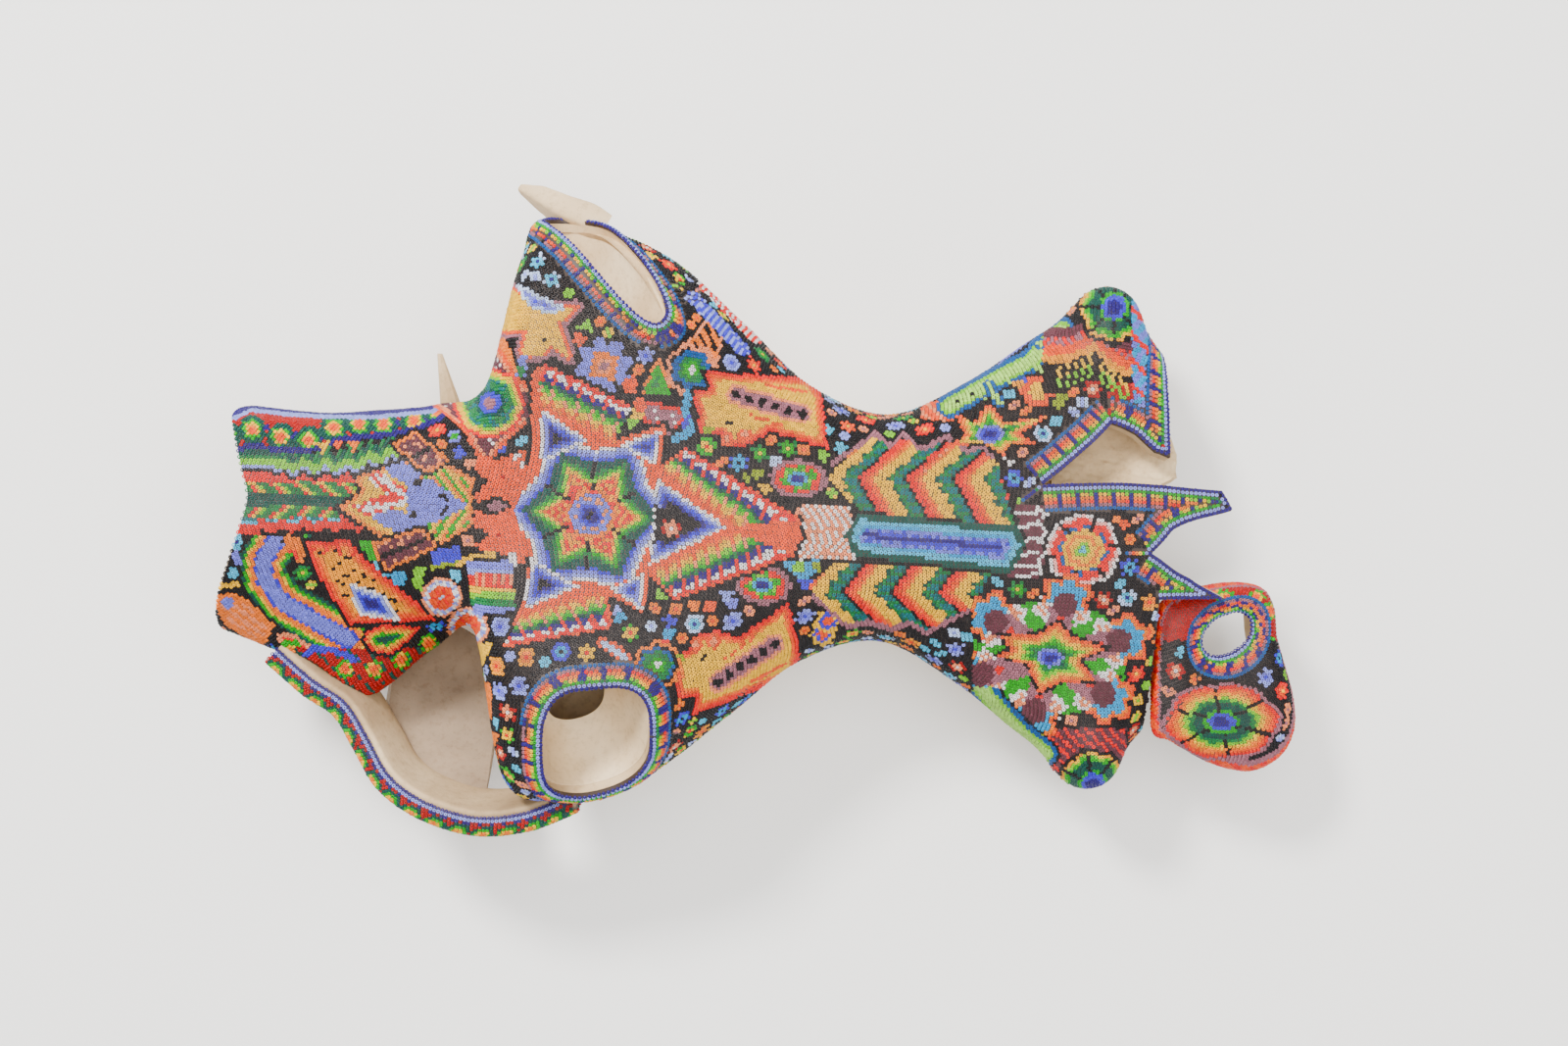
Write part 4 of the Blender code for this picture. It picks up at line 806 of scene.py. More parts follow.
def paint_forehead_left():
    """Small figures between the medallion and the left eye socket."""
    crest = depth_in((-144.7, 98), (-156, 74.5), (-150, 80), (-134.5, 76))
    paint(on_skin & (crest > 0), "orange")
    x, y = -150.4, 61.1
    halo = star_reach(x, y, 4, 33, 19.5, turn=-4)
    paint_bands(halo, on_skin & free & (halo < 1) & (U > -185),
                ((0.82, "maroon"), (0.9, "salmon"), (1, "flame")))
    paint(on_skin & free & (halo < 0.8) & ((U * 2 + V) % 7 < 2.2) & ((U - 2 * V) % 7 < 3), "white")
    flower(x, y, 18.4, ((0.17, "mauve"), (0.31, "royal"), (0.42, "pine"), (0.62, "fern"), (0.68, "teal"),
                        (0.76, "lime"), (0.9, "yellow"), (1, "red")), 8, 0.05, where=on_skin)
    paint(on_skin & (radius(x, y) > 7) & (radius(x, y) < 10.6) & (bearing(x, y) % 45 < 12), "teal")
    beast = ((-141, 120.4), (-125, 110), (-106, 110.6), (-115.6, 101.5), (-110, 84), (-118.6, 91),
             (-123, 86), (-134.2, 86.2), (-131.6, 98.7), (-147.6, 97.7), (-144.4, 112.7))
    depth = depth_in(*beast)
    outer = on_skin & free
    paint(outer & (depth > -3.6), "mauve")
    paint(outer & (depth > -1.6), "flame")
    paint(outer & (depth > 0), "yellow")
    dots(((-122.8, 93.2),), 1.4, "black", on_skin)
    crescent = depth_in((-136, 121), (-112, 109.6), (-118, 107.6), (-130, 111))
    paint_bands(crescent, outer & (crescent > -1), ((1, "pale"), (2.4, "lilac"), (9, "royal")))
    flower(-91.8, 80.2, 15.5, ((1, "lilac"),), 8, 0.34, 10, where=outer)
    reach = star_reach(-91.8, 80.2, 4, 9.4, 6.6, turn=35)
    paint_bands(reach, outer & (reach < 1), ((0.35, "mauve"), (0.52, "salmon"), (1, "orange")))
    flower(-78.4, 70.6, 4.8, ((1, "flame"),), 5, 0.3, where=outer)
    flower(-104.4, 94.4, 4, ((1, "flame"),), 5, 0.3, where=outer)
    paint(outer & poly((-107, 98.6), (-96, 97.6), (-101, 104.6)), "lime")
    paint(outer & poly((-137.6, 74.4), (-131, 74.6), (-131.5, 86), (-136, 84)), "lilac")
    paint(outer & (radius(-134.3, 77.6) < 2.8), "fern")
    leafed = depth_in((-71.5, 66.5), (-58.6, 66), (-64, 82.5))
    paint(outer & (leafed > -1.6), "orange")
    paint(outer & (leafed > 0), "leaf")
    paint(outer & (leafed > 2.6), "fern")
    x, y = -47.1, 78.3
    plume = depth_in((-51, 90), (-38, 106.5), (-29.6, 100), (-33, 82))
    paint_bands(plume, outer & (plume > 0), ((1.6, "salmon"), (40, "orange")))
    paint(outer & (plume > 2) & ((U + V * 0.4) % 4.6 < 1.9), "black")
    flower(x, y, 14.2, ((0.16, "white"), (0.3, "leaf"), (0.5, "fern"), (0.74, "steel"), (0.8, "black"),
                        (1, "salmon")), 7, 0.16, where=outer)
    for shift, colours in ((0, ("white", "red")), (-6.5, ("royal", "haze"))):
        strip = line((-40.4 + shift, 122.9 + shift), (-14 + shift, 94.9 + shift), width=6.5)
        paint(outer & strip, colours[0])
        paint(outer & strip & ((U - V) % 5 < 2.4), colours[1])
    paint(outer & line((-48.6, 66), (-50.5, 54), (-47, 48), (-55.6, 42), width=4.4), "sky")
    paint(outer & line((-48, 55), (-51, 50), width=2.6), "royal")
    for x, y in ((-66, 56), (-57, 54)):
        paint(outer & (radius(x, y) < 6.4), "red")
    for x, y in ((-66, 56), (-57, 54)):
        paint(outer & (radius(x, y) < 4.6), "mauve")
        dots(((x, y + 1), (x + 0.5, y - 2.4)), 1.1, "white", outer)
    paint(outer & line((-60, 50), (-62, 44), width=6.2), "mauve")
    for x, y, colour in ((-78, 52, "lime"), (-75, 56, "yellow"), (-73.6, 60.6, "flame")):
        paint(outer & (radius(x, y) < 3.6), colour)


def deer(x, y, turn, flip):
    """A generic yellow deer with a dark bar along its body."""
    c, s = math.cos(math.radians(turn)), math.sin(math.radians(turn))

    def at(a, b):
        b *= flip
        return x + a * c - b * s, y + a * s + b * c

    outline = tuple(at(a, b) for a, b in (
        (-30, 24), (-6, 21), (24, 17), (30, 8), (31, -20), (17, -14.5), (2, -9), (-8, -15), (-18, -15.5),
        (-22, -9.5), (-35, -7), (-34, 2), (-36, 14), (-27, 15),
    ))
    depth = depth_in(*outline)
    zone = on_skin & free
    paint(zone & (depth > -1.6), "black")
    paint_bands(depth, zone & (depth > 0), ((1.7, "red"), (3.2, "flame"), (4, "orange"), (90, "yellow")))
    spine = distance_to(at(-14, 11), at(19, -1))
    paint_bands(spine, zone & (depth > 0), ((3.6, "mauve"), (5.2, "salmon")))
    for k in range(6):
        a, b = -14 + 6.6 * k, 11 - 2.4 * k
        paint(zone & (radius(*at(a, b)) < 2.3), "black")
    dots((at(-18, -3),), 1.5, "black", zone)
    dots((at(-29, -6),), 2.4, "olive", zone)
    for a, b in ((-20, -11.5), (-11, -9.5)):
        paint(zone & (radius(*at(a, b)) < 3.4), "flame")
        paint(zone & (radius(*at(a, b)) < 2), "salmon")
    paint(zone & line(at(-8, 0.5), at(10, -7), width=1.5), "flame")
    paint(zone & line(at(2, 15), at(22, 10), width=1.5), "flame")


def paint_forehead_front():
    """Deer, oval flowers and the pale patch in front of the medallion."""
    deer(-9.6, 55.6, 4, 1)
    deer(-22.6, -67.6, 14, -1)
    zone = on_skin & free
    for x, y, wide in ((7.3, 22.7, 14), (-10.3, -31.8, 13.4)):
        oval = radius(x, y, wide / 9.5, 1, -4)
        paint(zone & (oval < 11.2), "black")
        paint_bands(oval, zone & (oval < 10),
                    ((2.2, "navy"), (3.6, "sky"), (5, "lime"), (8, "red"), (10, "mauve")))
        paint(zone & (oval > 3.6) & (oval < 6.6) & (bearing(x, y) % 60 < 32), "leaf")
    patch = poly((6, 6), (9, 9.5), (34, 9), (36, -18.5), (8, -18.9), (5.5, -14), (9, -10), (7, -2))
    paint(zone & patch, "white")
    paint(zone & patch & ((U + np.abs(V % 6 - 3) * 0.9) % 4.3 < 2.3), "salmon")
    spots = (((22, 48), "aqua"), ((29, 39), "aqua"), ((20.5, 35), "lime"), ((-20, 22), "olive"),
             ((-13, 25), "olive"), ((-10, 17), "yellow"), ((-36, 25.6), "fern"), ((-30, 22.4), "teal"),
             ((-4, 31), "pale"), ((-58, -50), "royal"), ((-58.6, -56), "sky"), ((-62, -36), "lime"),
             ((-86, -44), "haze"), ((-83.6, -48), "sky"), ((-46, -42), "orange"), ((-38, -42.6), "flame"),
             ((-29, -37), "haze"), ((-26.6, -41), "lilac"), ((8, -22.5), "lime"), ((13, -25), "sky"),
             ((11, -31), "royal"), ((16, -22.6), "olive"))
    for (x, y), colour in spots:
        flower(x, y, 3.6, ((1, colour),), 5, 0.35, x * 7, where=zone & (ink == 0))
    paint(zone & (ink == 0) & poly((-2, -19), (19, -19), (9, -30)), "sky")
    for x, y in ((22.6, -48.4), (20, -55)):
        flower(x, y - 2, 6.6, ((0.4, "flame"), (0.7, "royal"), (1, "yellow")), 8, 0.25,
               where=zone & (ink == 0))
    for x, size, colour in ((-62, 6.6, "red"), (-61.6, 5, "mauve")):
        paint(zone & (ink == 0) & (radius(x, -66) < size), colour)
    teal = (-64.5, -72.6)
    flower(*teal, 13, ((0.16, "white"), (0.32, "leaf"), (0.62, "fern"), (0.76, "steel"), (0.82, "black"),
                       (1, "orange")), 8, 0.14, where=zone)
    paint(zone & (ink == 0) & line((-93, -60.5), (-84, -66), (-77, -73), width=6), "flame")
    paint(zone & line((-92, -61), (-84, -66), (-77, -73), width=3.4), "pale")


def paint_neck_side():
    """Figures behind the deer-head shapes, down to the right of the head."""
    zone = on_skin & free
    for x, y in ((-174.9, -38.3), (-161.5, -53.1)):
        reach = radius(x, y)
        paint_bands(reach, zone & (reach < 11),
                    ((1.3, "pale"), (6.4, "flame"), (8.8, "white"), (10.2, "salmon"), (11, "black")))
        paint(zone & (reach > 2.4) & (reach < 5) & (bearing(x, y) % 60 < 20), "red")
        paint(zone & (reach > 6.6) & (reach < 8.8) & (bearing(x, y) % 30 < 14), "haze")
    comb = poly((-162.5, -20), (-139, -19), (-136.6, -45), (-158, -47), (-161, -38))
    paint_bands(-V, zone & comb, ((23.4, "lilac"), (26, "haze"), (32.6, "red"), (35.5, "yellow"),
                                  (38.5, "lime"), (42, "fern"), (90, "lilac")))
    paint(zone & comb & (V < -26) & (V > -32) & ((U + 200) % 4.6 < 1.8), "salmon")
    paint(zone & line((-166.6, -22), (-160, -17), (-148, -16), width=2.8), "yellow")
    for corners, colour in (
        (((-181, -15), (-165, -11), (-164, -19), (-180, -22)), "royal"),
        (((-180, -21.6), (-164, -17), (-164.4, -20.6), (-180, -24.6)), "olive"),
        (((-218, -8.6), (-206.6, -9), (-208.6, -20), (-212, -19)), "leaf"),
        (((-191, -23.6), (-183, -22.6), (-185, -35), (-188, -34)), "lime"),
        (((-203, -26), (-193, -24.6), (-193.6, -32), (-199, -32.6)), "sky"),
        (((-212, -22), (-208.6, -20), (-199, -34), (-203, -35)), "aqua"),
        (((-164.6, -62), (-149, -61), (-156, -78)), "yellow"),
        (((-166, -60), (-160, -60), (-157, -76)), "fern"),
        (((-161, -81), (-150, -82), (-149, -100), (-156, -98)), "orange"),
        (((-157, -84), (-152, -86), (-152, -92), (-156, -92)), "haze"),
        (((-155, -104), (-146, -108), (-150, -121), (-156, -118)), "orange"),
    ):
        paint(zone & (ink == 0) & poly(*corners), colour)
    upper = ((-157.4, 36.6), (-146.7, 32), (-131, 38), (-130, 21), (-132.7, 8.8), (-138.8, 8.8),
             (-147.9, 14), (-158.6, 9.4), (-156, 17), (-151.3, 22), (-158, 26.6))
    lower = ((-158.6, 7), (-147.9, 3.4), (-138.8, 8.4), (-132, 9), (-131.6, -4), (-128, -16), (-132, -22),
             (-141, -16.5), (-159.8, -12), (-150, -6.6), (-158.6, -1.4))
    for shape in (upper, lower):
        paint(on_skin & (depth_in(*shape) > 0), "flame")
    dots(((-144.2, 24.2), (-146.7, -5.6)), 1.2, "crimson", on_skin)
    gem = (np.abs(U + 147.3) / 9.6 + np.abs(V - 8.8) / 5.2)
    paint_bands(gem, on_skin & (gem < 1), ((0.62, "mauve"), (1, "black")))
    for x, y in ((-135, 31), (-138.6, -18.6)):
        paint(on_skin & (np.abs(U - x) < 2.4) & (np.abs(V - y) < 3.6) & ((U % 3) < 1.6), "white")
    for x, y, colour in ((-145, 38.4, "royal"), (-166, 36, "royal"), (-160.6, 30.6, "salmon"),
                         (-168.6, 44.6, "lilac")):
        paint(zone & (ink == 0) & (radius(x, y) < 3), colour)
    paint(zone & (radius(-168.6, 44.6) < 1.8), "leaf")


CHEVRON_LONG = 24.4


def chevrons(zone, apex, slopes, border, start, side):
    """Chevrons in five colours between the bar on the nose and a wavy mauve border on one side of it."""
    off = V - apex[1]
    lean = np.where(off > 0, slopes[0] * off, -slopes[1] * off)
    phase = (U - apex[0] - lean) % CHEVRON_LONG
    reach = (np.interp(U, *zip(*border)) - V) * side
    inside = zone & (reach > 0) & (U > start + np.abs(off) * slopes[0 if side > 0 else 1] * 0.9 - 2)
    inside &= U < np.interp(V, (-55, -30, 0, 32), (88, 104, 117, 109))
    paint_bands(phase, inside, ((1.6, "black"), (5, "red"), (7.6, "flame"), (9, "orange"), (15.4, "yellow"),
                                (CHEVRON_LONG, "pine")))
    paint(inside & (phase > 15.4) & (phase < 17.4) & (V % 6 < 3), "yellow")
    paint(inside & (phase > 17.4) & (phase < 24), "fern")
    paint(inside & (phase > 19) & (phase < 24) & (V % 5 < 3.4), "teal")
    paint(on_skin & free & (reach < 0) & (reach > -3) & (U > border[0][0]) & (U < border[-1][0]), "mauve")


def paint_nose():
    """Bar, chevrons, claws and the round flower along the nose."""
    zone = on_skin & free
    upper = ((24, 28.8), (35, 36), (47.2, 44.9), (54, 38), (61.2, 44.6), (70.3, 36.2), (83, 43),
             (94.2, 34.8), (99.8, 38.4), (108.6, 31.4))
    lower = ((14, -35), (32.4, -52), (43, -49.5), (54.2, -53), (64, -50), (73.1, -55), (84, -49), (97, -42))
    middle = np.interp(U, (24, 118), (7.6, -1.4))
    chevrons(zone & (V > middle), (61.2, 23.2), (1.1, 0.55), upper, 24, 1)
    middle = np.interp(U, (10, 112), (-18.6, -26))
    chevrons(zone & (V < middle), (53.5, -35.7), (0.73, 1.07), lower, 12, -1)
    bar = ((31.4, -6.3), (38.4, 4.4), (118, -2.4), (123.4, -10.5), (116, -25.4), (36.7, -16.4))
    depth = depth_in(*bar)
    paint_bands(depth, on_skin & (depth > -0.6),
                ((2.4, "pine"), (5, "aqua"), (6.4, "sky"), (9, "lilac"), (30, "royal")))
    paint(on_skin & (depth > 7) & (U % 6 < 2.6), "royal")
    paint(on_skin & line((41.6, -6.3), (110.3, -12.4), width=1.9), "navy")
    paint(zone & poly((117.6, 9), (132, 8.6), (134.6, -14), (131, -27.6), (114, -28), (124.6, -11)),
          "maroon")
    for row in (5.2, -1.6, -8.6, -16, -22.6, -27):
        paint(zone & line((118.4 + max(0, 6 - abs(row + 10) * 0.5), row), (130, row + 0.6), width=1.9),
              "white")
    paint(zone & line((130, 8), (134, 5), (130, 1), (134.4, -4), (130, -9), (134.4, -14), (130.4, -19),
                      (131, -25), width=2), "white")
    x, y = 152.8, -14.0
    reach = petal_reach(x, y, 8, 19.4, 0.08)
    paint(on_skin & (reach < 1.1), "black")
    paint_bands(reach, on_skin & (reach < 1),
                ((0.12, "aqua"), (0.2, "lime"), (0.34, "yellow"), (0.44, "orange"), (0.56, "yellow"),
                 (0.68, "steel"), (0.84, "red"), (0.92, "pink"), (1, "white")))
    paint(on_skin & (reach < 1) & (reach > 0.58) & spokes(x, y, 6, 10, 20, turn=10, width=1.9), "black")
    paint(on_skin & (reach < 0.7) & (reach > 0.56) & (bearing(x, y) % 45 < 18), "red")
    for x, y, colour in ((121, 10, "lime"), (139, 8.4, "leaf"), (145, 9.4, "lime"), (135, 11, "fern"),
                         (170, 2, "orange"), (174, -0.6, "flame"), (112, 14, "red"), (109.6, 21, "red")):
        paint(zone & (ink == 0) & (radius(x, y) < 2.6), colour)
    dots(((110, 36), (113, 33.6), (116, 31)), 1.6, "white", zone)


def paint_cheek_star(x, y, tips, valleys, squash=1.0):
    """The long-petalled star on a cheek, from its tips and the valleys between them."""
    corners = [p for pair in zip(tips, valleys) for p in pair]
    for scale, colour in ((1.1, "black"), (1.0, "flame"), (0.9, "orange"), (0.78, "yellow"), (0.62, "lime"),
                          (0.52, "leaf"), (0.42, "fern"), (0.3, "pine")):
        shape = tuple((x + (px - x) * scale, y + (py - y) * scale) for px, py in corners)
        paint(on_skin & free & poly(*shape), colour)
    oval = radius(x, y, 1.5, 1.0 * squash)
    paint_bands(oval, on_skin & free & (oval < 4.6), ((2, "navy"), (3.4, "royal"), (4.6, "lilac")))


def paint_right_cheek():
    """The large flower with six capped arms, and the lizard and flower over the right tusk root."""
    zone = on_skin & free & (V < -26) & (U > 96)
    x, y = 135.8, -69.0
    ring = radius(x, y, 1.12, 0.82)
    paint(zone & (ring < 36), "leaf")
    for angle in range(6):
        middle = math.radians(angle * 60 + 48)
        px, py = x + 33 * math.cos(middle), y + 24.6 * math.sin(middle)
        for lean in (-13, 13):
            a = math.radians(angle * 60 + 48 + lean)
            qx, qy = x + 33.5 * math.cos(a), y + 25.4 * math.sin(a)
            reach = np.abs((U - qx) * math.cos(a) + (V - qy) * math.sin(a)) / 7 + np.abs(
                -(U - qx) * math.sin(a) + (V - qy) * math.cos(a)) / 6
            paint_bands(reach, zone & (reach < 1.05), ((0.62, "salmon"), (1.05, "white")))
            paint(zone & (reach < 0.62) & ((U + V) % 3.4 < 1.2), "white")
    for angle in range(6):
        a = math.radians(angle * 60 + 18)
        inner = (x + 15 * math.cos(a), y + 12 * math.sin(a))
        outer = (x + 34 * math.cos(a), y + 26 * math.sin(a))
        paint(zone & line(inner, outer, width=13), "mauve")
        dots(((x + 27 * math.cos(a), y + 20.6 * math.sin(a)),), 2, "red", zone)
        fx, fy = x + 40 * math.cos(a), y + 30.6 * math.sin(a)
        cap = petal_reach(fx, fy, 6, 14.4, 0.3, math.degrees(a))
        away = (U - fx) * math.cos(a) + (V - fy) * math.sin(a) > -4
        paint(zone & (cap < 1.08) & away, "black")
        paint_bands(cap, zone & (cap < 1) & away, ((0.72, "sky"), (0.85, "orange"), (1, "flame")))
        paint(zone & (radius(fx - 3 * math.cos(a), fy - 3 * math.sin(a)) < 6.4), "maroon")
    paint_cheek_star(x, y, ((140, -50.6), (165.4, -64.3), (158.6, -81.6), (130, -87), (108.6, -68.5),
                            (110.4, -57.4)), ((147.8, -58.4), (151.6, -70), (142.6, -81), (124.2, -72.1),
                                              (115.6, -64.6), (128.5, -57.4)))
    teeth = zone & (U > 135) & (U < 175) & (V < -105) & (ink == 0)
    paint(teeth, "maroon")
    paint(teeth & ((U + V) % 6 < 2.4), "red")
    boss_flower(157.9, -134.0, 17.6, 7)
    lizard(((98, -82), (109, -95), (121, -108), (133, -118)), zone & (V < -84))
    for px, py, colour in ((117, -102.6, "yellow"), (122.6, -106, "sky"), (129, -110, "olive"),
                           (187, -55, "orange"), (191.6, -60.6, "orange"), (196, -66, "flame"),
                           (192, -67, "flame")):
        paint(zone & (ink == 0) & (radius(px, py) < 3), colour)
    paint(zone & (ink == 0) & poly((196, -70), (214, -84), (212, -86), (199, -79)), "fern")


def boss_flower(x, y, outer, count):
    """The green flower on a knob over a tusk root."""
    reach = petal_reach(x, y, count, outer, 0.09)
    on_boss = on_skin & free
    paint(on_boss & (reach < 1.12), "black")
    paint_bands(reach, on_boss & (reach < 1),
                ((0.22, "navy"), (0.36, "royal"), (0.46, "leaf"), (0.72, "pine"), (0.8, "leaf"),
                 (0.88, "lime"), (0.94, "yellow"), (1, "gold")))
    angle = (bearing(x, y) % (360 / count) - 180 / count) * math.pi / 180 * outer * 0.62
    core = np.hypot(angle, radius(x, y) - outer * 0.6)
    paint(on_boss & (reach > 0.4) & (reach < 0.9) & (core > 4.6), "leaf")
    paint(on_boss & (reach > 0.4) & (reach < 0.9) & (core > 5.8), "lime")
    paint(on_boss & (reach < 1) & (reach > 0.4) & spokes(x, y, count, 6.6, outer, turn=0, width=1.6),
          "black")


def lizard(path, zone):
    """A pale lizard along a path, with pairs of short legs."""
    off = distance_to(*path)
    paint_bands(off, zone & (off < 7.4), ((2.6, "mint"), (4, "lime"), (6.2, "steel"), (7.4, "black")))
    for x, y in path[1:-1]:
        for side in (5, -5):
            paint(zone & line((x, y), (x + side, y - abs(side)), width=2.2), "mint")


def paint_left_cheek():
    """Lizard, long-petalled star, hanging feathers and the flower over the left tusk root."""
    zone = on_skin & free & (V > 16) & (U > 70)
    lizard(((84, 60), (98, 68), (112, 76), (126, 83), (134, 93), (142, 99)), zone)
    dots(((95.4, 66), (88, 62.4)), 1.3, "black", zone)
    for x0, y0, x1, y1 in ((104, 71, 110, 62), (130, 92, 143, 89)):
        paint(zone & line((x0, y0), (x1, y1), width=5.6), "steel")
        paint(zone & line((x0, y0), (x1, y1), width=2.8), "mint")
    paint(zone & poly((109, 81), (124, 92), (128, 96), (112, 88)), "lilac")
    x, y = 105.3, 45.8
    paint_cheek_star(x, y, ((104, 62.5), (137.6, 55.5), (128, 41), (112, 34.6), (84, 40), (87.6, 56)),
                     ((113, 51.5), (120, 45.6), (116, 40), (102, 40.6), (92, 45), (97, 51.6)))
    blob = petal_reach(129.7, 67.6, 6, 9, 0.2)
    paint(zone & (blob < 1.15), "black")
    paint_bands(blob, zone & (blob < 1), ((0.55, "yellow"), (1, "flame")))
    paint(zone & (radius(119.6, 71.5, 1.6) < 2.2), "gold")
    paint(zone & (ink == 0) & (radius(124, 73, 1.4) < 1.6), "royal")
    paint(zone & (ink == 0) & poly((136, 60), (140, 66.6), (146, 66), (141, 57.6)), "olive")
    paint(zone & (ink == 0) & poly((68, 63), (86, 62), (86, 52), (66, 54)), "flame")
    paint(zone & (ink == NAMES.index("flame")) & (U < 86) & ((U + V) % 7 < 2.6), "salmon")
    hang = V - np.interp(U, (131, 145, 158, 166, 176, 183), (86, 86, 92, 84, 78, 84))
    over = zone & (U > 132) & (U < 184) & (hang < 14) & (V > 66)
    paint(over, "black")
    paint_bands(hang, over & (hang > -14),
                ((-4, "black"), (0, "gold"), (5, "flame"), (9, "mauve"), (14, "maroon")))
    paint(over & (hang > 5) & (hang < 9) & ((U + V) % 4 < 1.8), "red")
    for x, high in ((140.5, 80), (145, 81), (149, 82), (152.6, 84), (156.4, 86), (162.6, 82), (166, 80),
                    (168.6, 77.6), (172, 75), (175, 72)):
        paint(zone & line((x, high), (x, high - 9), width=1.9), "yellow")
        paint(zone & line((x, high - 6), (x, high - 10.5), width=1.9), "lime")
    boss_flower(168.6, 110.5, 18.4, 8)
    flap = zone & (U > 158) & (V < 72) & (V > 24)
    paint(flap & (ink == 0) & (U > 166), "crimson")
    for x, y in ((172, 52), (177, 44), (170, 38), (182, 50), (186, 62), (192, 55)):
        fire_star(x, y, 0.8, flap & (U > 162))
    side = zone & (U > 178) & (V > 56)
    paint(side & ((U - V) % 9 < 4.4), "sky")
    paint(side & ((U - V) % 9 >= 4.4), "lilac")
    paint(side & ((U + V) % 13 < 3), "red")


def paint_premaxilla():
    """The oval flower, small stars and rainbow ring on the right premaxilla."""
    zone = parts == PREMAX
    paint(zone, "black")
    red = zone & (V > -60) & (rows > 7)
    paint(red, "crimson")
    for x, y in ((226, -38), (241, -38), (231, -43), (238, -46), (243, -53), (247, -62), (219, -33),
                 (249, -45)):
        fire_star(x, y, 0.85, red)
    x, y = 223.7, -101.7
    squash = 0.66
    reach = petal_reach(x, y, 6, 29, 0.08, turn=8, squash=squash)
    far = zone & (rows > 7)
    paint(far & (reach < 1.1), "black")
    paint_bands(reach, far & (reach < 1.0),
                ((0.15, "navy"), (0.25, "royal"), (0.34, "leaf"), (0.52, "pine"), (0.6, "fern"),
                 (0.68, "lime"), (0.78, "yellow"), (0.87, "orange"), (0.94, "flame"), (1, "red")))
    paint(far & (reach > 1) & (reach < 1.08), "mauve")
    paint(far & (reach < 1) & (reach > 0.3) & spokes(x, y, 6, 8, 29, turn=38, width=1.7, squash=squash),
          "black")
    rim = premaxilla_rim()
    paint(far & (rim > 0) & (reach > 1.08), "flame")
    paint(far & (rim > 0) & (reach > 1.08) & ((U + V) % 8 < 3.4), "red")
    paint(far & (np.abs(rim) < 1.2) & (reach > 1.08), "mauve")
    collar_pattern(zone & (rows < 8), rows, marks, 0.0105)


def premaxilla_rim():
    """How far a bead lies over the turned-down front border, in millimetres."""
    return (places[:, 1] - 3.6) * 9


def paint_arch():
    """Small fire stars and navy ticks on the right arch, between its lined borders."""
    zone = parts == ARCH_PART
    paint(zone, "crimson")
    phase = marks % 0.0135 / 0.0135
    last = rows.max(where=zone, initial=0)
    inner = last - rows
    for offset, row in ((0.0, 6), (0.5, 14), (0.0, 22)):
        spot = np.hypot(((phase + offset) % 1 - 0.5) * 13.5, (inner - row) * 1.86)
        paint_bands(spot, zone & (spot < 6.6), ((2, "orange"), (3.4, "yellow"), (5, "leaf"), (6.6, "pine")))
    paint(zone & (inner > 2) & (inner % 8 == 2) & (phase % 0.5 < 0.25), "navy")
    paint(zone & (rows == 0), "navy")
    paint(zone & (rows == 1), "haze")
    paint(zone & (inner == 0), "navy")
    paint(zone & (inner == 1), "lilac")


FLOWER_CLEAR, FLOWER_APART = 0.0066, 0.0118  # free ground round a middle, and distance between middles
SEED_CLEAR, SEED_APART = 0.0044, 0.0070
FLOWER_COLOURS = (("navy", "aqua", "pale"), ("yellow", "flame", "red"), ("red", "orange", "gold"),
                  ("royal", "lilac", "haze"), ("yellow", "leaf", "fern"), ("white", "salmon", "crimson"),
                  ("black", "sky", "royal"), ("red", "yellow", "leaf"))
SEED_COLOURS = (("haze", "haze", "pale"), ("lime", "lime", "yellow"), ("flame", "orange", "orange"),
                ("aqua", "aqua", "aqua"), ("mauve", "salmon", "salmon"))
FILLER_HEART, FILLER_MIDDLE = 0.3, 0.68  # shares of a filler's reach that take its first and second colour


def filler_middles(empty, clear, apart):
    """Beads far enough from every painted one and from each other, in a scattered order."""
    painted = tree_of(points[ink != 0])
    roomy = empty[nearest(painted, points[empty])[1] > clear]
    middles = []
    for bead in roomy[np.argsort(np.sin(roomy * 12.9898) * 43758.5453 % 1)]:
        if all(np.linalg.norm(points[bead] - points[other]) > apart for other in middles):
            middles.append(bead)
    return middles


def filler_reach(bead, middle, number, clear):
    """1 on the outline of a six-petalled filler, less inside it."""
    away = points[bead] - points[middle]
    across = np.cross(normals[middle], (0.3, 0.1, 1.0))
    across /= np.linalg.norm(across)
    turn = math.atan2(away @ across, away @ np.cross(normals[middle], across))
    return np.linalg.norm(away) / (clear * (0.70 + 0.16 * math.cos(turn * 6 + number)))


def paint_fillers(clear, apart, colours):
    """Small motifs that fill the dark ground left between the figures."""
    empty = np.flatnonzero(ink == 0)
    middles = filler_middles(empty, clear, apart)
    tree = tree_of(points[middles])
    for bead in empty:
        _, number, distance = tree.find(points[bead])
        if distance > clear * 0.84:
            continue
        reach = filler_reach(bead, middles[number], number, clear)
        if reach < 1:
            heart, middle, border = colours[number % len(colours)]
            colour = heart if reach < FILLER_HEART else middle if reach < FILLER_MIDDLE else border
            ink[bead] = NAMES.index(colour)


paint_braincase()
paint_head_side()
paint_bird()
paint_forehead_left()
paint_neck_side()
paint_forehead_front()
paint_medallion()
paint_nose()
paint_right_cheek()
paint_left_cheek()
for number, period in ((1, 0.0098), (2, 0.0105), (3, 0.0098)):
    collar_pattern(kinds == number, rows, marks, period)
paint_premaxilla()
paint_arch()
paint_fillers(FLOWER_CLEAR, FLOWER_APART, FLOWER_COLOURS)
paint_fillers(SEED_CLEAR, SEED_APART, SEED_COLOURS)

# ---------------------------------------------------------------- materials


def linear(colour):
    share = np.array(colour) / 255.0
    return np.where(share <= 0.04045, share / 12.92, ((share + 0.055) / 1.055) ** 2.4)


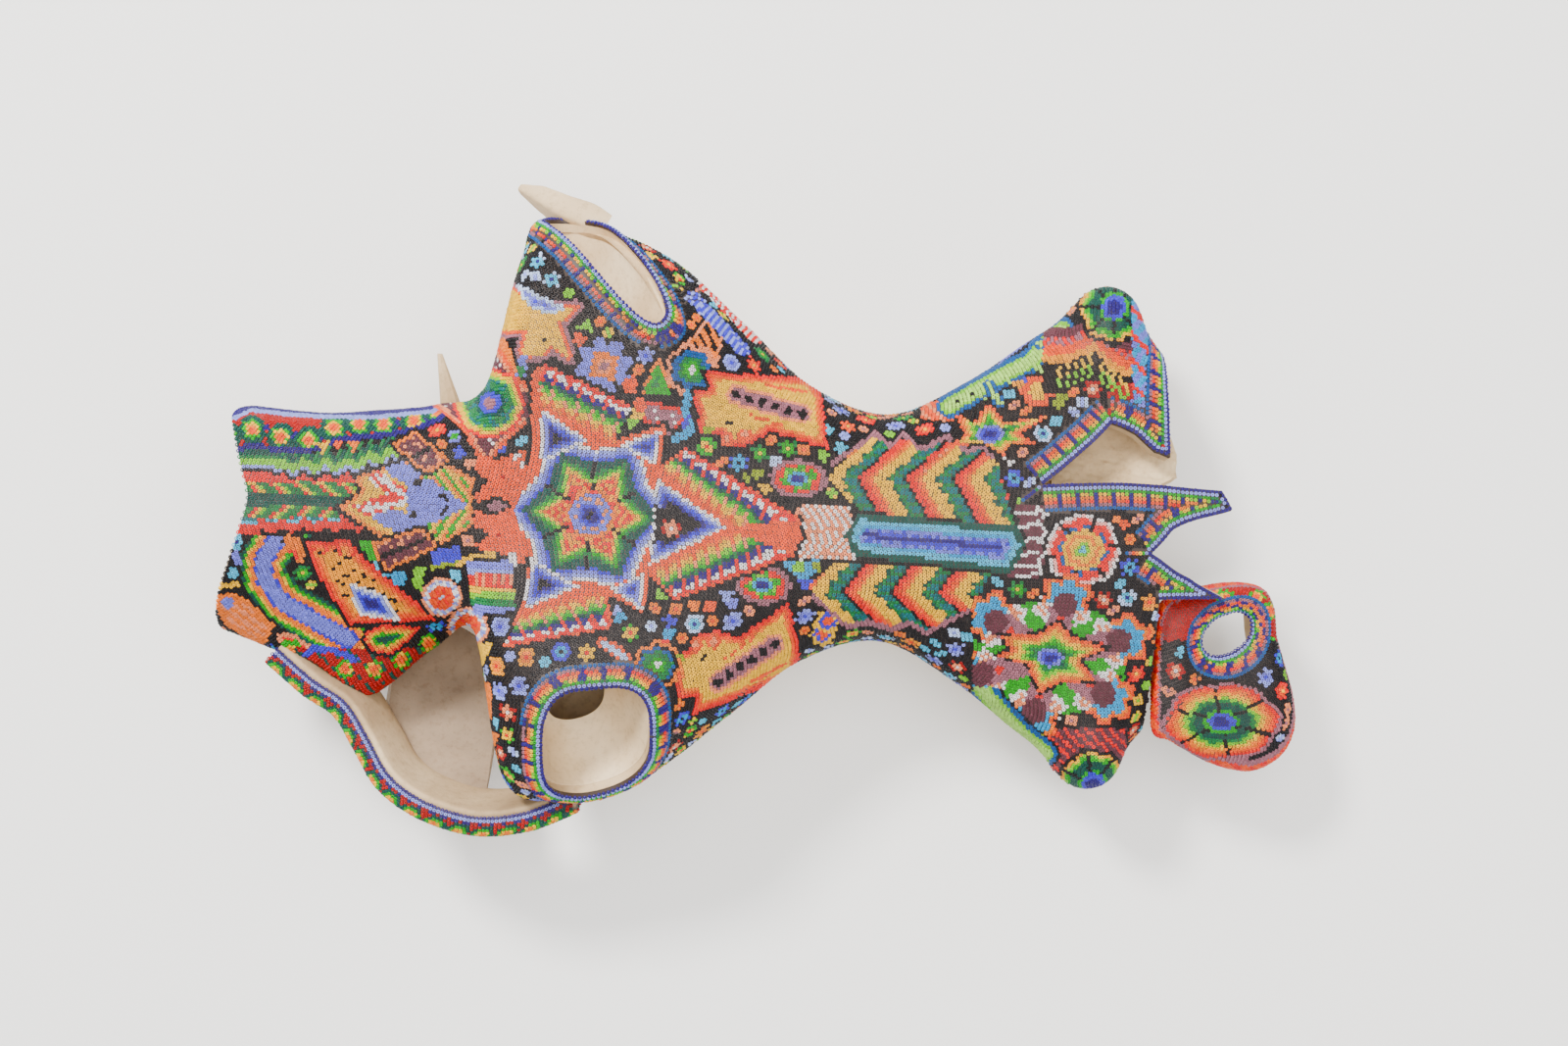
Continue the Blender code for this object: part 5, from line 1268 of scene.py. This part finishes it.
def glossy(name, colour, roughness, coat=0.0, specular=0.5):
    made = bpy.data.materials.new(name)
    made.use_nodes = True
    shader = made.node_tree.nodes["Principled BSDF"]
    shader.inputs["Base Color"].default_value = (*colour, 1)
    shader.inputs["Roughness"].default_value = roughness
    shader.inputs["Coat Weight"].default_value = coat
    shader.inputs["Coat Roughness"].default_value = 0.12
    shader.inputs["Specular IOR Level"].default_value = specular
    return made


def deepened(colour):
    """Coloured glass is stronger in colour than a painted surface of the same hue."""
    grey = colour @ (0.21, 0.72, 0.07)
    return np.clip(grey + (colour - grey) * 1.4, 0.001, 0.95) * 0.78


SHADES = (0.86, 1.0, 1.12)  # each colour of bead comes in lots that differ a little
GLASS = [
    glossy(f"bead_{name}_{number}", deepened(linear(COLOURS[name])) * shade, 0.34, coat=0.06, specular=0.28)
    for name in NAMES for number, shade in enumerate(SHADES)
]
WAX_STUFF = glossy("dark_wax", (0.035, 0.02, 0.014), 0.55)


def bone_stuff(name, light, middle, dark, bump, roughness=0.72):
    """Old bone: cream with tan clouds, brown-grey stains and fine pits."""
    made = glossy(name, middle, roughness, specular=0.3)
    tree = made.node_tree
    shader = tree.nodes["Principled BSDF"]
    place = tree.nodes.new("ShaderNodeTexCoord")

    def noise(scale, detail, rough=0.5):
        node = tree.nodes.new("ShaderNodeTexNoise")
        node.inputs["Scale"].default_value = scale
        node.inputs["Detail"].default_value = detail
        node.inputs["Roughness"].default_value = rough
        tree.links.new(place.outputs["Object"], node.inputs["Vector"])
        return node.outputs["Fac"]

    def ramp(source, stops):
        node = tree.nodes.new("ShaderNodeValToRGB")
        while len(node.color_ramp.elements) < len(stops):
            node.color_ramp.elements.new(0.5)
        for element, (where, colour) in zip(node.color_ramp.elements, stops):
            element.position = where
            element.color = (*colour, 1)
        tree.links.new(source, node.inputs["Fac"])
        return node.outputs["Color"]

    clouds = ramp(noise(16, 5), ((0.3, dark), (0.5, middle), (0.66, light)))
    specks = ramp(noise(260, 3, 0.7), ((0.3, (0.62, 0.55, 0.47)), (0.5, (1, 1, 1))))
    both = tree.nodes.new("ShaderNodeMix")
    both.data_type = "RGBA"
    both.blend_type = "MULTIPLY"
    both.inputs["Factor"].default_value = 0.45
    tree.links.new(clouds, both.inputs["A"])
    tree.links.new(specks, both.inputs["B"])
    tree.links.new(both.outputs["Result"], shader.inputs["Base Color"])
    pits = tree.nodes.new("ShaderNodeBump")
    pits.inputs["Strength"].default_value = bump
    pits.inputs["Distance"].default_value = 0.0012
    tree.links.new(noise(190, 4, 0.6), pits.inputs["Height"])
    tree.links.new(pits.outputs["Normal"], shader.inputs["Normal"])
    return made


BONE_STUFF = bone_stuff("old_bone", (0.72, 0.54, 0.32), (0.54, 0.38, 0.21), (0.32, 0.21, 0.11), 0.35)
PALE_STUFF = bone_stuff("pale_bone", (0.82, 0.66, 0.43), (0.68, 0.50, 0.29), (0.46, 0.32, 0.18), 0.3)
# The temple floor's bone takes far darker colours than the rest of the skull: painted shade of the hollow
# under the arch.
SHADED_TEMPLE_STUFF = bone_stuff("scooped_bone", (0.44, 0.32, 0.21), (0.32, 0.23, 0.15), (0.20, 0.14, 0.09), 0.25)
TORN_STUFF = bone_stuff("torn_bone", (0.76, 0.59, 0.36), (0.60, 0.43, 0.24), (0.38, 0.26, 0.14), 0.8, 0.85)
ENAMEL = bone_stuff("old_enamel", (0.80, 0.72, 0.54), (0.62, 0.50, 0.30), (0.34, 0.24, 0.14), 0.15, 0.35)

# ---------------------------------------------------------------- meshes


def mesh_object(name, corners, faces, stuffs, material_index=None):
    """A smooth-shaded mesh in the scene, from arrays."""
    mesh = bpy.data.meshes.new(name)
    corners, faces = np.asarray(corners, np.float32), np.asarray(faces, np.int32)
    mesh.vertices.add(len(corners))
    mesh.vertices.foreach_set("co", corners.ravel())
    mesh.loops.add(faces.size)
    mesh.loops.foreach_set("vertex_index", faces.ravel())
    mesh.polygons.add(len(faces))
    mesh.polygons.foreach_set("loop_start", np.arange(0, faces.size, faces.shape[1], dtype=np.int32))
    for stuff in stuffs:
        mesh.materials.append(stuff)
    if material_index is not None:
        mesh.polygons.foreach_set("material_index", np.asarray(material_index, np.int32))
    mesh.polygons.foreach_set("use_smooth", np.full(len(faces), True))
    mesh.update(calc_edges=True)
    made = bpy.data.objects.new(name, mesh)
    bpy.context.scene.collection.objects.link(made)
    return made


def shown(obj, slot, *nodes):
    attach(obj, "root")
    if nodes:
        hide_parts(*nodes)
    return obj


BEAD_SIDES = 8
BEAD_PROFILE = ((0.00098, 0.0002), (0.00099, 0.00112), (0.00070, 0.00158), (0.00040, 0.00095))


def bead_shape():
    """One bead lying on its side hole up: a ring open towards the wax."""
    angle = np.arange(BEAD_SIDES) * 2 * math.pi / BEAD_SIDES
    corners = np.array([(r * math.cos(a), r * math.sin(a), z) for r, z in BEAD_PROFILE for a in angle])
    faces = []
    for band in range(len(BEAD_PROFILE) - 1):
        for k in range(BEAD_SIDES):
            a, b = band * BEAD_SIDES + k, band * BEAD_SIDES + (k + 1) % BEAD_SIDES
            faces.append((a, b, b + BEAD_SIDES, a + BEAD_SIDES))
    return corners, np.array(faces)


SHAPE, SHAPE_FACES = bead_shape()
TILT, SIZE_SPREAD, SINK = 0.09, 0.035, 0.00012


def bead_mesh(name, chosen):
    """The chosen beads as one mesh, each a little tilted, its size and shade a little its own."""
    count = len(chosen)
    up = normals[chosen] + rng.normal(0, TILT, (count, 3))
    up /= np.linalg.norm(up, axis=1, keepdims=True)
    first = np.cross(up, (0.3, 1.0, 0.2))
    first /= np.linalg.norm(first, axis=1, keepdims=True)
    second = np.cross(up, first)
    frames = np.stack([first, second, up], -1)
    size = 1 + rng.normal(0, SIZE_SPREAD, (count, 1, 1))
    base = points[chosen] + SHIFT - normals[chosen] * (BEADS + rng.uniform(0, 2 * SINK, (count, 1)))
    corners = np.einsum("nij,kj->nki", frames, SHAPE) * size + base[:, None]
    faces = SHAPE_FACES[None] + np.arange(count)[:, None, None] * len(SHAPE)
    shade = rng.integers(0, len(SHADES), count)
    used, index = np.unique(ink[chosen] * len(SHADES) + shade, return_inverse=True)
    return mesh_object(name, corners.reshape(-1, 3), faces.reshape(-1, 4), [GLASS[k] for k in used],
                       np.repeat(index.ravel(), len(SHAPE_FACES)))


def region_of():
    """Which bead field of the CAD part each bead belongs to."""
    along, around = places.T
    side = np.where(around > 0, "left", "right")
    names = np.full(len(points), "beads_braincase", dtype="U24")
    head = (along >= BACK) & (along < CHEEK)
    names[head] = "beads_forehead"
    socket = head & (np.abs(around) > ROOF)
    names[socket] = np.char.add("beads_eye_socket_", side[socket])
    snout = along >= CHEEK
    names[snout] = "beads_nose_bridge"
    outer = snout & ((around > TONGUE_WIDE) | (around < -BRIDGE))
    names[outer] = np.where(along[outer] < MUZZLE, np.char.add("beads_flank_", side[outer]),
                            np.char.add("beads_cheek_", side[outer]))
    names[(along >= MUZZLE) & ~outer & snout] = "beads_nasal_tongue"
    names[parts == PREMAX] = "beads_premaxilla_right"
    names[parts == ARCH_PART] = "beads_arch_right"
    return names


MOST_BEADS = 4100
regions = region_of()
for node in np.unique(regions):
    members = np.flatnonzero(regions == node)
    pieces = max(1, math.ceil(len(members) / MOST_BEADS))
    for number, chosen in enumerate(np.array_split(members[np.argsort(places[members, 0])], pieces), 1):
        shown(bead_mesh(f"{node}_field_{number}", chosen), "glass_beads", str(node))


def closed_faces(rows, columns, ring):
    quads, inner = [], rows * columns
    spans = columns if ring else columns - 1
    r, c = np.meshgrid(np.arange(rows - 1), np.arange(spans), indexing="ij")
    a, b = (r * columns + c).ravel(), (r * columns + (c + 1) % columns).ravel()
    top = np.column_stack([a, a + columns, b + columns, b])
    quads += [top, inner + top[:, ::-1]]
    c = np.arange(spans)
    a, b = c, (c + 1) % columns
    quads.append(np.column_stack([a, b, inner + b, inner + a]))
    a, b = (rows - 1) * columns + b, (rows - 1) * columns + a
    quads.append(np.column_stack([a, b, inner + b, inner + a]))
    if not ring:
        r = np.arange(rows - 1)
        a, b = (r + 1) * columns, r * columns
        quads.append(np.column_stack([a, b, inner + b, inner + a]))
        a, b = r * columns + columns - 1, (r + 1) * columns + columns - 1
        quads.append(np.column_stack([a, b, inner + b, inner + a]))
    return np.concatenate(quads)


def sheet(name, points, normals, outer, inner, stuff, ring=False):
    """A closed sheet between two depths under a grid of points, with its faces turned outwards."""
    rows, columns = points.shape[:2]
    corners = np.concatenate([(points - normals * outer).reshape(-1, 3),
                              (points - normals * inner).reshape(-1, 3)])
    faces = closed_faces(rows, columns, ring)
    a, b, c = corners[faces[0, 0]], corners[faces[0, 1]], corners[faces[0, 2]]
    if np.dot(np.cross(b - a, c - a), normals[0, 0]) < 0:
        faces = faces[:, ::-1]
    made = mesh_object(name, corners + SHIFT, faces, [stuff])
    made.data.set_sharp_from_angle(angle=math.radians(45))
    return made


WAX_TOP, WAX_UNDER = 0.00105, 0.0031
LAYERS = {"wax": (WAX_TOP, WAX_UNDER, "bees_wax"), "bone": (BONE_TOP, BONE_TOP + BONE, "weathered_bone")}


def skin_layers_shown(name, along, around, ring=False, wax_columns=slice(None)):
    """The smooth wax and bone of one region of the skin."""
    points, normals = skin(along, around), normals_of(skin, along, around)
    for kind, (outer, inner, slot) in LAYERS.items():
        kept = wax_columns if kind == "wax" else slice(None)
        node = f"{kind}_{name}"
        stuff = WAX_STUFF if kind == "wax" else BONE_STUFF
        made = sheet(node + "_smooth", points[:, kept], normals[:, kept], outer, inner, stuff, ring)
        shown(made, slot, node)


def grid(along_range, around_range, along_steps, around_steps):
    return np.meshgrid(np.linspace(*along_range, along_steps), np.linspace(*around_range, around_steps),
                       indexing="ij")


for name, along_range, reach in (("braincase", (0, BACK), EDGE), ("forehead", (BACK, CHEEK), ROOF),
                                 ("nose_bridge", (CHEEK, MUZZLE), None)):
    around_range = (-BRIDGE, TONGUE_WIDE) if reach is None else (-reach, reach)
    along, around = grid(along_range, around_range, 41, 71)
    cut = slice(4, -4) if name == "braincase" else slice(None)
    skin_layers_shown(name, along, around, wax_columns=cut)

tongue_around = np.linspace(-BRIDGE, TONGUE_WIDE, 61)
tongue_end = np.interp(tongue_around, *zip(*TONGUE_FRONT))
shares = np.linspace(0, 1, 41)[:, None]
skin_layers_shown("nasal_tongue", MUZZLE + shares * (tongue_end - MUZZLE),
                  np.broadcast_to(tongue_around, (41, 61)).copy())

for side, end in (("right", CHEEK_END_RIGHT), ("left", CHEEK_END_LEFT)):
    sign = 1 if side == "left" else -1
    for part, start, stop in (("flank", CHEEK, MUZZLE), ("cheek", MUZZLE, end)):
        sections = np.linspace(start, stop, 41)
        inner = np.full(41, TONGUE_WIDE if side == "left" else BRIDGE)
        if side == "left":
            inner = np.interp(sections, *zip(*OPENING_EDGE))
        share = np.linspace(0, 1, 65)
        around = sign * (inner[:, None] * (1 - share) + EDGE * share)
        along = np.broadcast_to(sections[:, None], around.shape).copy()
        skin_layers_shown(f"{part}_{side}", along, around, wax_columns=slice(None, -8))


def socket_rings(side, shares, fine=10):
    """Places ring by ring from the border of an eye socket region to the socket itself."""
    sign = 1 if side == "left" else -1
    corners = [(BACK, ROOF), (CHEEK, ROOF), (CHEEK, EDGE), (BACK, EDGE), (BACK, ROOF)]
    border = np.concatenate([np.linspace(a, b, 7 * fine, endpoint=False)
                             for a, b in zip(corners, corners[1:])])
    border[:, 1] *= sign
    if sign < 0:
        border = border[::-1]
    middle = np.array(SOCKETS[side][:2])
    opening = middle + (border - middle) / socket_distance(side, border[:, 0], border[:, 1])[:, None]
    rings = np.array([border * (1 - share) + opening * share for share in shares])
    return rings[..., 0], rings[..., 1]


CUP_PROFILE = {
    "right": ((1.0, 0.0035), (0.96, 0.009), (0.87, 0.020), (0.72, 0.032), (0.55, 0.041)),
    "left": ((1.0, 0.0035), (0.95, 0.009), (0.86, 0.019), (0.68, 0.029), (0.42, 0.035), (0.2, 0.037),
             (0.02, 0.0375)),
}
CUP_SHIFT = 0.0018
CUP_THICK = 0.0028


def eye_cup(side):
    """The bare bone bowl inside an eye socket."""
    along, around = socket_rings(side, (1.0,), 6)
    points, normals = skin(along, around)[0], normals_of(skin, along, around)[0]
    rim = points - normals * BONE_TOP
    centre = rim.mean(axis=0)
    down = -normals.mean(axis=0)
    down /= np.linalg.norm(down)
    profile = np.array(CUP_PROFILE[side])
    marks = np.linspace(0, len(profile) - 1, 34)
    shares = np.interp(marks, np.arange(len(profile)), profile[:, 0])
    depths = np.interp(marks, np.arange(len(profile)), profile[:, 1])
    swell = 1 + 0.03 * np.sin(np.linspace(0, 6 * math.pi, len(rim)))[:, None] * (1 - shares[:, None, None])
    rings = centre + (rim - centre) * shares[:, None, None] * swell + down * depths[:, None, None]
    rings[..., 1] -= np.sign(centre[1]) * CUP_SHIFT
    inward = centre - rings
    inward -= (inward @ down)[..., None] * down
    inward /= np.maximum(np.linalg.norm(inward, axis=-1, keepdims=True), 1e-6)
    made = sheet(f"bone_eye_cup_{side}_smooth", rings, inward, 0.0, CUP_THICK, PALE_STUFF, ring=True)
    shown(made, "weathered_bone", f"bone_eye_cup_{side}")


for side in SOCKETS:
    along, around = socket_rings(side, np.linspace(0, 1, 30) ** 0.8)
    skin_layers_shown(f"eye_socket_{side}", along, around, ring=True)
    eye_cup(side)

ring_marks, round_marks = np.meshgrid(np.linspace(0, 6, 61), np.arange(0, 20, 0.125), indexing="ij")
shape = premaxilla(ring_marks, round_marks)
shape_normals = normals_of(premaxilla, ring_marks, round_marks)
shape_normals *= np.sign(shape_normals[20, :, 2].mean())
shown(sheet("bone_premaxilla_right_smooth", shape, shape_normals, BONE_TOP + GAP, BONE_TOP + BONE,
            BONE_STUFF, ring=True),
      "weathered_bone", "bone_premaxilla_right")
shown(sheet("wax_premaxilla_right_smooth", shape[:51], shape_normals[:51], WAX_TOP, WAX_UNDER, WAX_STUFF,
            ring=True),
      "bees_wax", "wax_premaxilla_right")


def tube(name, rings, stuff):
    """A closed bar through rings of points."""
    count, sides = rings.shape[:2]
    r, c = np.meshgrid(np.arange(count - 1), np.arange(sides), indexing="ij")
    a, b = (r * sides + c).ravel(), (r * sides + (c + 1) % sides).ravel()
    quads = np.column_stack([a, a + sides, b + sides, b])
    first, last = count * sides, count * sides + 1
    c = np.arange(sides)
    caps = np.concatenate([
        np.column_stack([np.full(sides, first), c, (c + 1) % sides, np.full(sides, first)]),
        np.column_stack([np.full(sides, last), (count - 1) * sides + (c + 1) % sides,
                         (count - 1) * sides + c,
                         np.full(sides, last)]),
    ])
    corners = np.concatenate([rings.reshape(-1, 3),
                              [rings[0].mean(axis=0), rings[-1].mean(axis=0)]]) + SHIFT
    triangles = np.concatenate([quads[:, :3], quads[:, [0, 2, 3]], caps[:, :3]])
    made = mesh_object(name, corners, triangles, [stuff])
    made.data.set_sharp_from_angle(angle=math.radians(50))
    return made


arch_a, arch_c = np.meshgrid(np.linspace(0, 8, 121), np.arange(0, 12, 0.2), indexing="ij")
arch_shape = arch(arch_a, arch_c)
middle = arch_shape.mean(axis=1, keepdims=True)
arch_out = normals_of(arch, arch_a, arch_c)
arch_out *= np.sign(((arch_shape - middle) * arch_out).sum(axis=-1, keepdims=True))
bare = np.clip(np.minimum(np.abs((arch_c - 5) % 12), np.abs((11 - arch_c) % 12)) / 0.5, 0,
               1) * ((arch_c > 5) & (arch_c < 11))
arch_bone = tube("bone_arch_right_smooth", arch_shape - arch_out * (BONE_TOP * (1 - bare))[..., None],
                 BONE_STUFF)
shown(arch_bone, "weathered_bone", "bone_arch_right")
wax_a, wax_c = np.meshgrid(np.linspace(0.02, 7.98, 121), np.linspace(-0.85, 4.85, 40), indexing="ij")
wax_shape, wax_out = arch(wax_a, wax_c), normals_of(arch, wax_a, wax_c)
wax_out *= np.sign(((wax_shape - path(wax_a, wax_a * 0)) * wax_out).sum(axis=-1, keepdims=True))
shown(sheet("wax_arch_right_smooth", wax_shape, wax_out, WAX_TOP, WAX_UNDER - 0.0001, WAX_STUFF),
      "bees_wax", "wax_arch_right")

TEMPLE_FLOOR = (
    (-0.214, ((-0.127, 0.086), (-0.114, 0.069), (-0.100, 0.060), (-0.086, 0.053), (-0.074, 0.048))),
    (-0.200, ((-0.147, 0.088), (-0.130, 0.066), (-0.108, 0.056), (-0.088, 0.049), (-0.068, 0.045))),
    (-0.183, ((-0.157, 0.090), (-0.136, 0.066), (-0.112, 0.054), (-0.088, 0.048), (-0.066, 0.046))),
    (-0.168, ((-0.161, 0.092), (-0.142, 0.068), (-0.118, 0.056), (-0.094, 0.051), (-0.074, 0.050))),
    (-0.156, ((-0.163, 0.093), (-0.146, 0.072), (-0.124, 0.060), (-0.102, 0.056), (-0.086, 0.056))),
)
STUB = ((-0.106, 0.152, 0.101), (-0.115, 0.157, 0.103), (-0.126, 0.161, 0.106), (-0.139, 0.168, 0.102),
        (-0.150, 0.173, 0.097))
STUB_TAPER = (1.0, 1.0, 0.85, 0.6, 0.25)
TORN = (
    (0.142, ((0.026, 0.108), (0.036, 0.101), (0.046, 0.098), (0.064, 0.110))),
    (0.158, ((0.024, 0.103), (0.036, 0.096), (0.052, 0.094), (0.078, 0.108))),
    (0.174, ((0.023, 0.099), (0.036, 0.092), (0.056, 0.090), (0.082, 0.105))),
    (0.190, ((0.026, 0.096), (0.036, 0.090), (0.052, 0.088), (0.076, 0.101))),
    (0.202, ((0.030, 0.095), (0.037, 0.091), (0.047, 0.090), (0.062, 0.098))),
    (0.211, ((0.036, 0.094), (0.039, 0.092), (0.043, 0.092), (0.047, 0.093))),
)


def rough(points, size, height, seed):
    """Smooth uneven offsets for points, from a few waves of about the same size."""
    waves = np.random.default_rng(seed)
    total = np.zeros(points.shape[:-1])
    for _ in range(14):
        way = waves.normal(size=3)
        way *= waves.uniform(0.6, 1.8) / np.linalg.norm(way)
        total += np.sin(points @ way / size * 2 * math.pi + waves.uniform(0, 6.3))
    return total / 14**0.5 * height


def fine_sheet(name, rows_of, thick, stuff, node, steps, bumps, swing):
    """A smooth uneven sheet of bare bone through a few rows of points."""
    shape = sheet_of(np.array([[(x, y, z) for y, z in row] for x, row in rows_of]), wrap=False)
    a, b = np.meshgrid(np.linspace(0, len(rows_of) - 1, steps),
                       np.linspace(0, len(rows_of[0][1]) - 1, steps), indexing="ij")
    points, normals = shape(a, b), normals_of(shape, a, b)
    normals *= np.sign(normals[..., 2:])
    points = points + normals * rough(points, bumps, swing, 3)[..., None]
    shown(sheet(name, points, normals, 0.0, thick, stuff), "weathered_bone", node)


# The temple floor is drawn in the darker bone, which is painted shade of the hollow under the arch.
fine_sheet("temple_floor_smooth", TEMPLE_FLOOR, 0.005, SHADED_TEMPLE_STUFF, "bone_arch_right", 60, 0.03, 0.0006)
fine_sheet("bone_torn_smooth", TORN, 0.003, TORN_STUFF, "bone_torn_premaxilla_left", 90, 0.006, 0.0005)

stub_rings = sheet_of(arch_rings(STUB, ARCH_TALL * 0.7, ARCH_THICK, taper=STUB_TAPER), wrap=True)
stub_a, stub_c = np.meshgrid(np.linspace(0, 4, 60), np.arange(0, 12, 0.2), indexing="ij")
stub_points = stub_rings(stub_a, stub_c)
stub_middle = stub_points.mean(axis=1, keepdims=True)
broken = np.clip(stub_a / 4 - 0.5, 0, 1)
stub_points += (stub_points - stub_middle) * (rough(stub_points, 0.02, 0.12, 5) * broken)[..., None]
shown(tube("bone_arch_stub_left_smooth", stub_points, PALE_STUFF), "weathered_bone", "bone_arch_stub_left")

for node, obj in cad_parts.items():
    stuff = ENAMEL if node.startswith("tooth") else WAX_STUFF if node.startswith("wax") else BONE_STUFF
    obj.data.materials.clear()
    obj.data.materials.append(stuff)

# ---------------------------------------------------------------- floor, light and camera

bpy.ops.mesh.primitive_plane_add(size=12, location=(0, 0, 0))
floor = bpy.context.active_object
floor.name = "floor"
floor.data.materials.append(glossy("pale_floor", (0.93, 0.92, 0.895), 0.9, specular=0.2))


def area_light(name, place, aim, size, power, colour=(1, 1, 1)):
    """A round lamp that points at a place."""
    light = bpy.data.lights.new(name, "AREA")
    light.shape = "DISK"
    light.size = size
    light.energy = power
    light.color = colour
    made = bpy.data.objects.new(name, light)
    made.location = place
    made.rotation_euler = (Vector(aim) - Vector(place)).to_track_quat("-Z", "Y").to_euler()
    bpy.context.scene.collection.objects.link(made)


area_light("key", (-0.9, 1.1, 1.9), (0, 0, 0.05), 0.45, 78, (1, 0.98, 0.95))
area_light("overhead", (0.3, 0.2, 2.6), (0, 0, 0), 2.2, 78)
area_light("fill", (1.4, -1.3, 1.2), (0, 0, 0.08), 1.4, 9)

world = bpy.data.worlds.new("studio")
world.use_nodes = True
world.node_tree.nodes["Background"].inputs["Color"].default_value = (1, 1, 1, 1)
world.node_tree.nodes["Background"].inputs["Strength"].default_value = 0.95
bpy.context.scene.world = world

LENS, SENSOR_WIDTH = 51.75, 36  # millimetres
camera_data = bpy.data.cameras.new("camera")
camera_data.lens, camera_data.sensor_width = LENS, SENSOR_WIDTH
camera = bpy.data.objects.new("camera", camera_data)
camera.location = (SHIFT[0], SHIFT[1], PLANE_HEIGHT + VIEW_HEIGHT)
camera.rotation_euler = (0, 0, TURN)
bpy.context.scene.collection.objects.link(camera)
bpy.context.scene.camera = camera
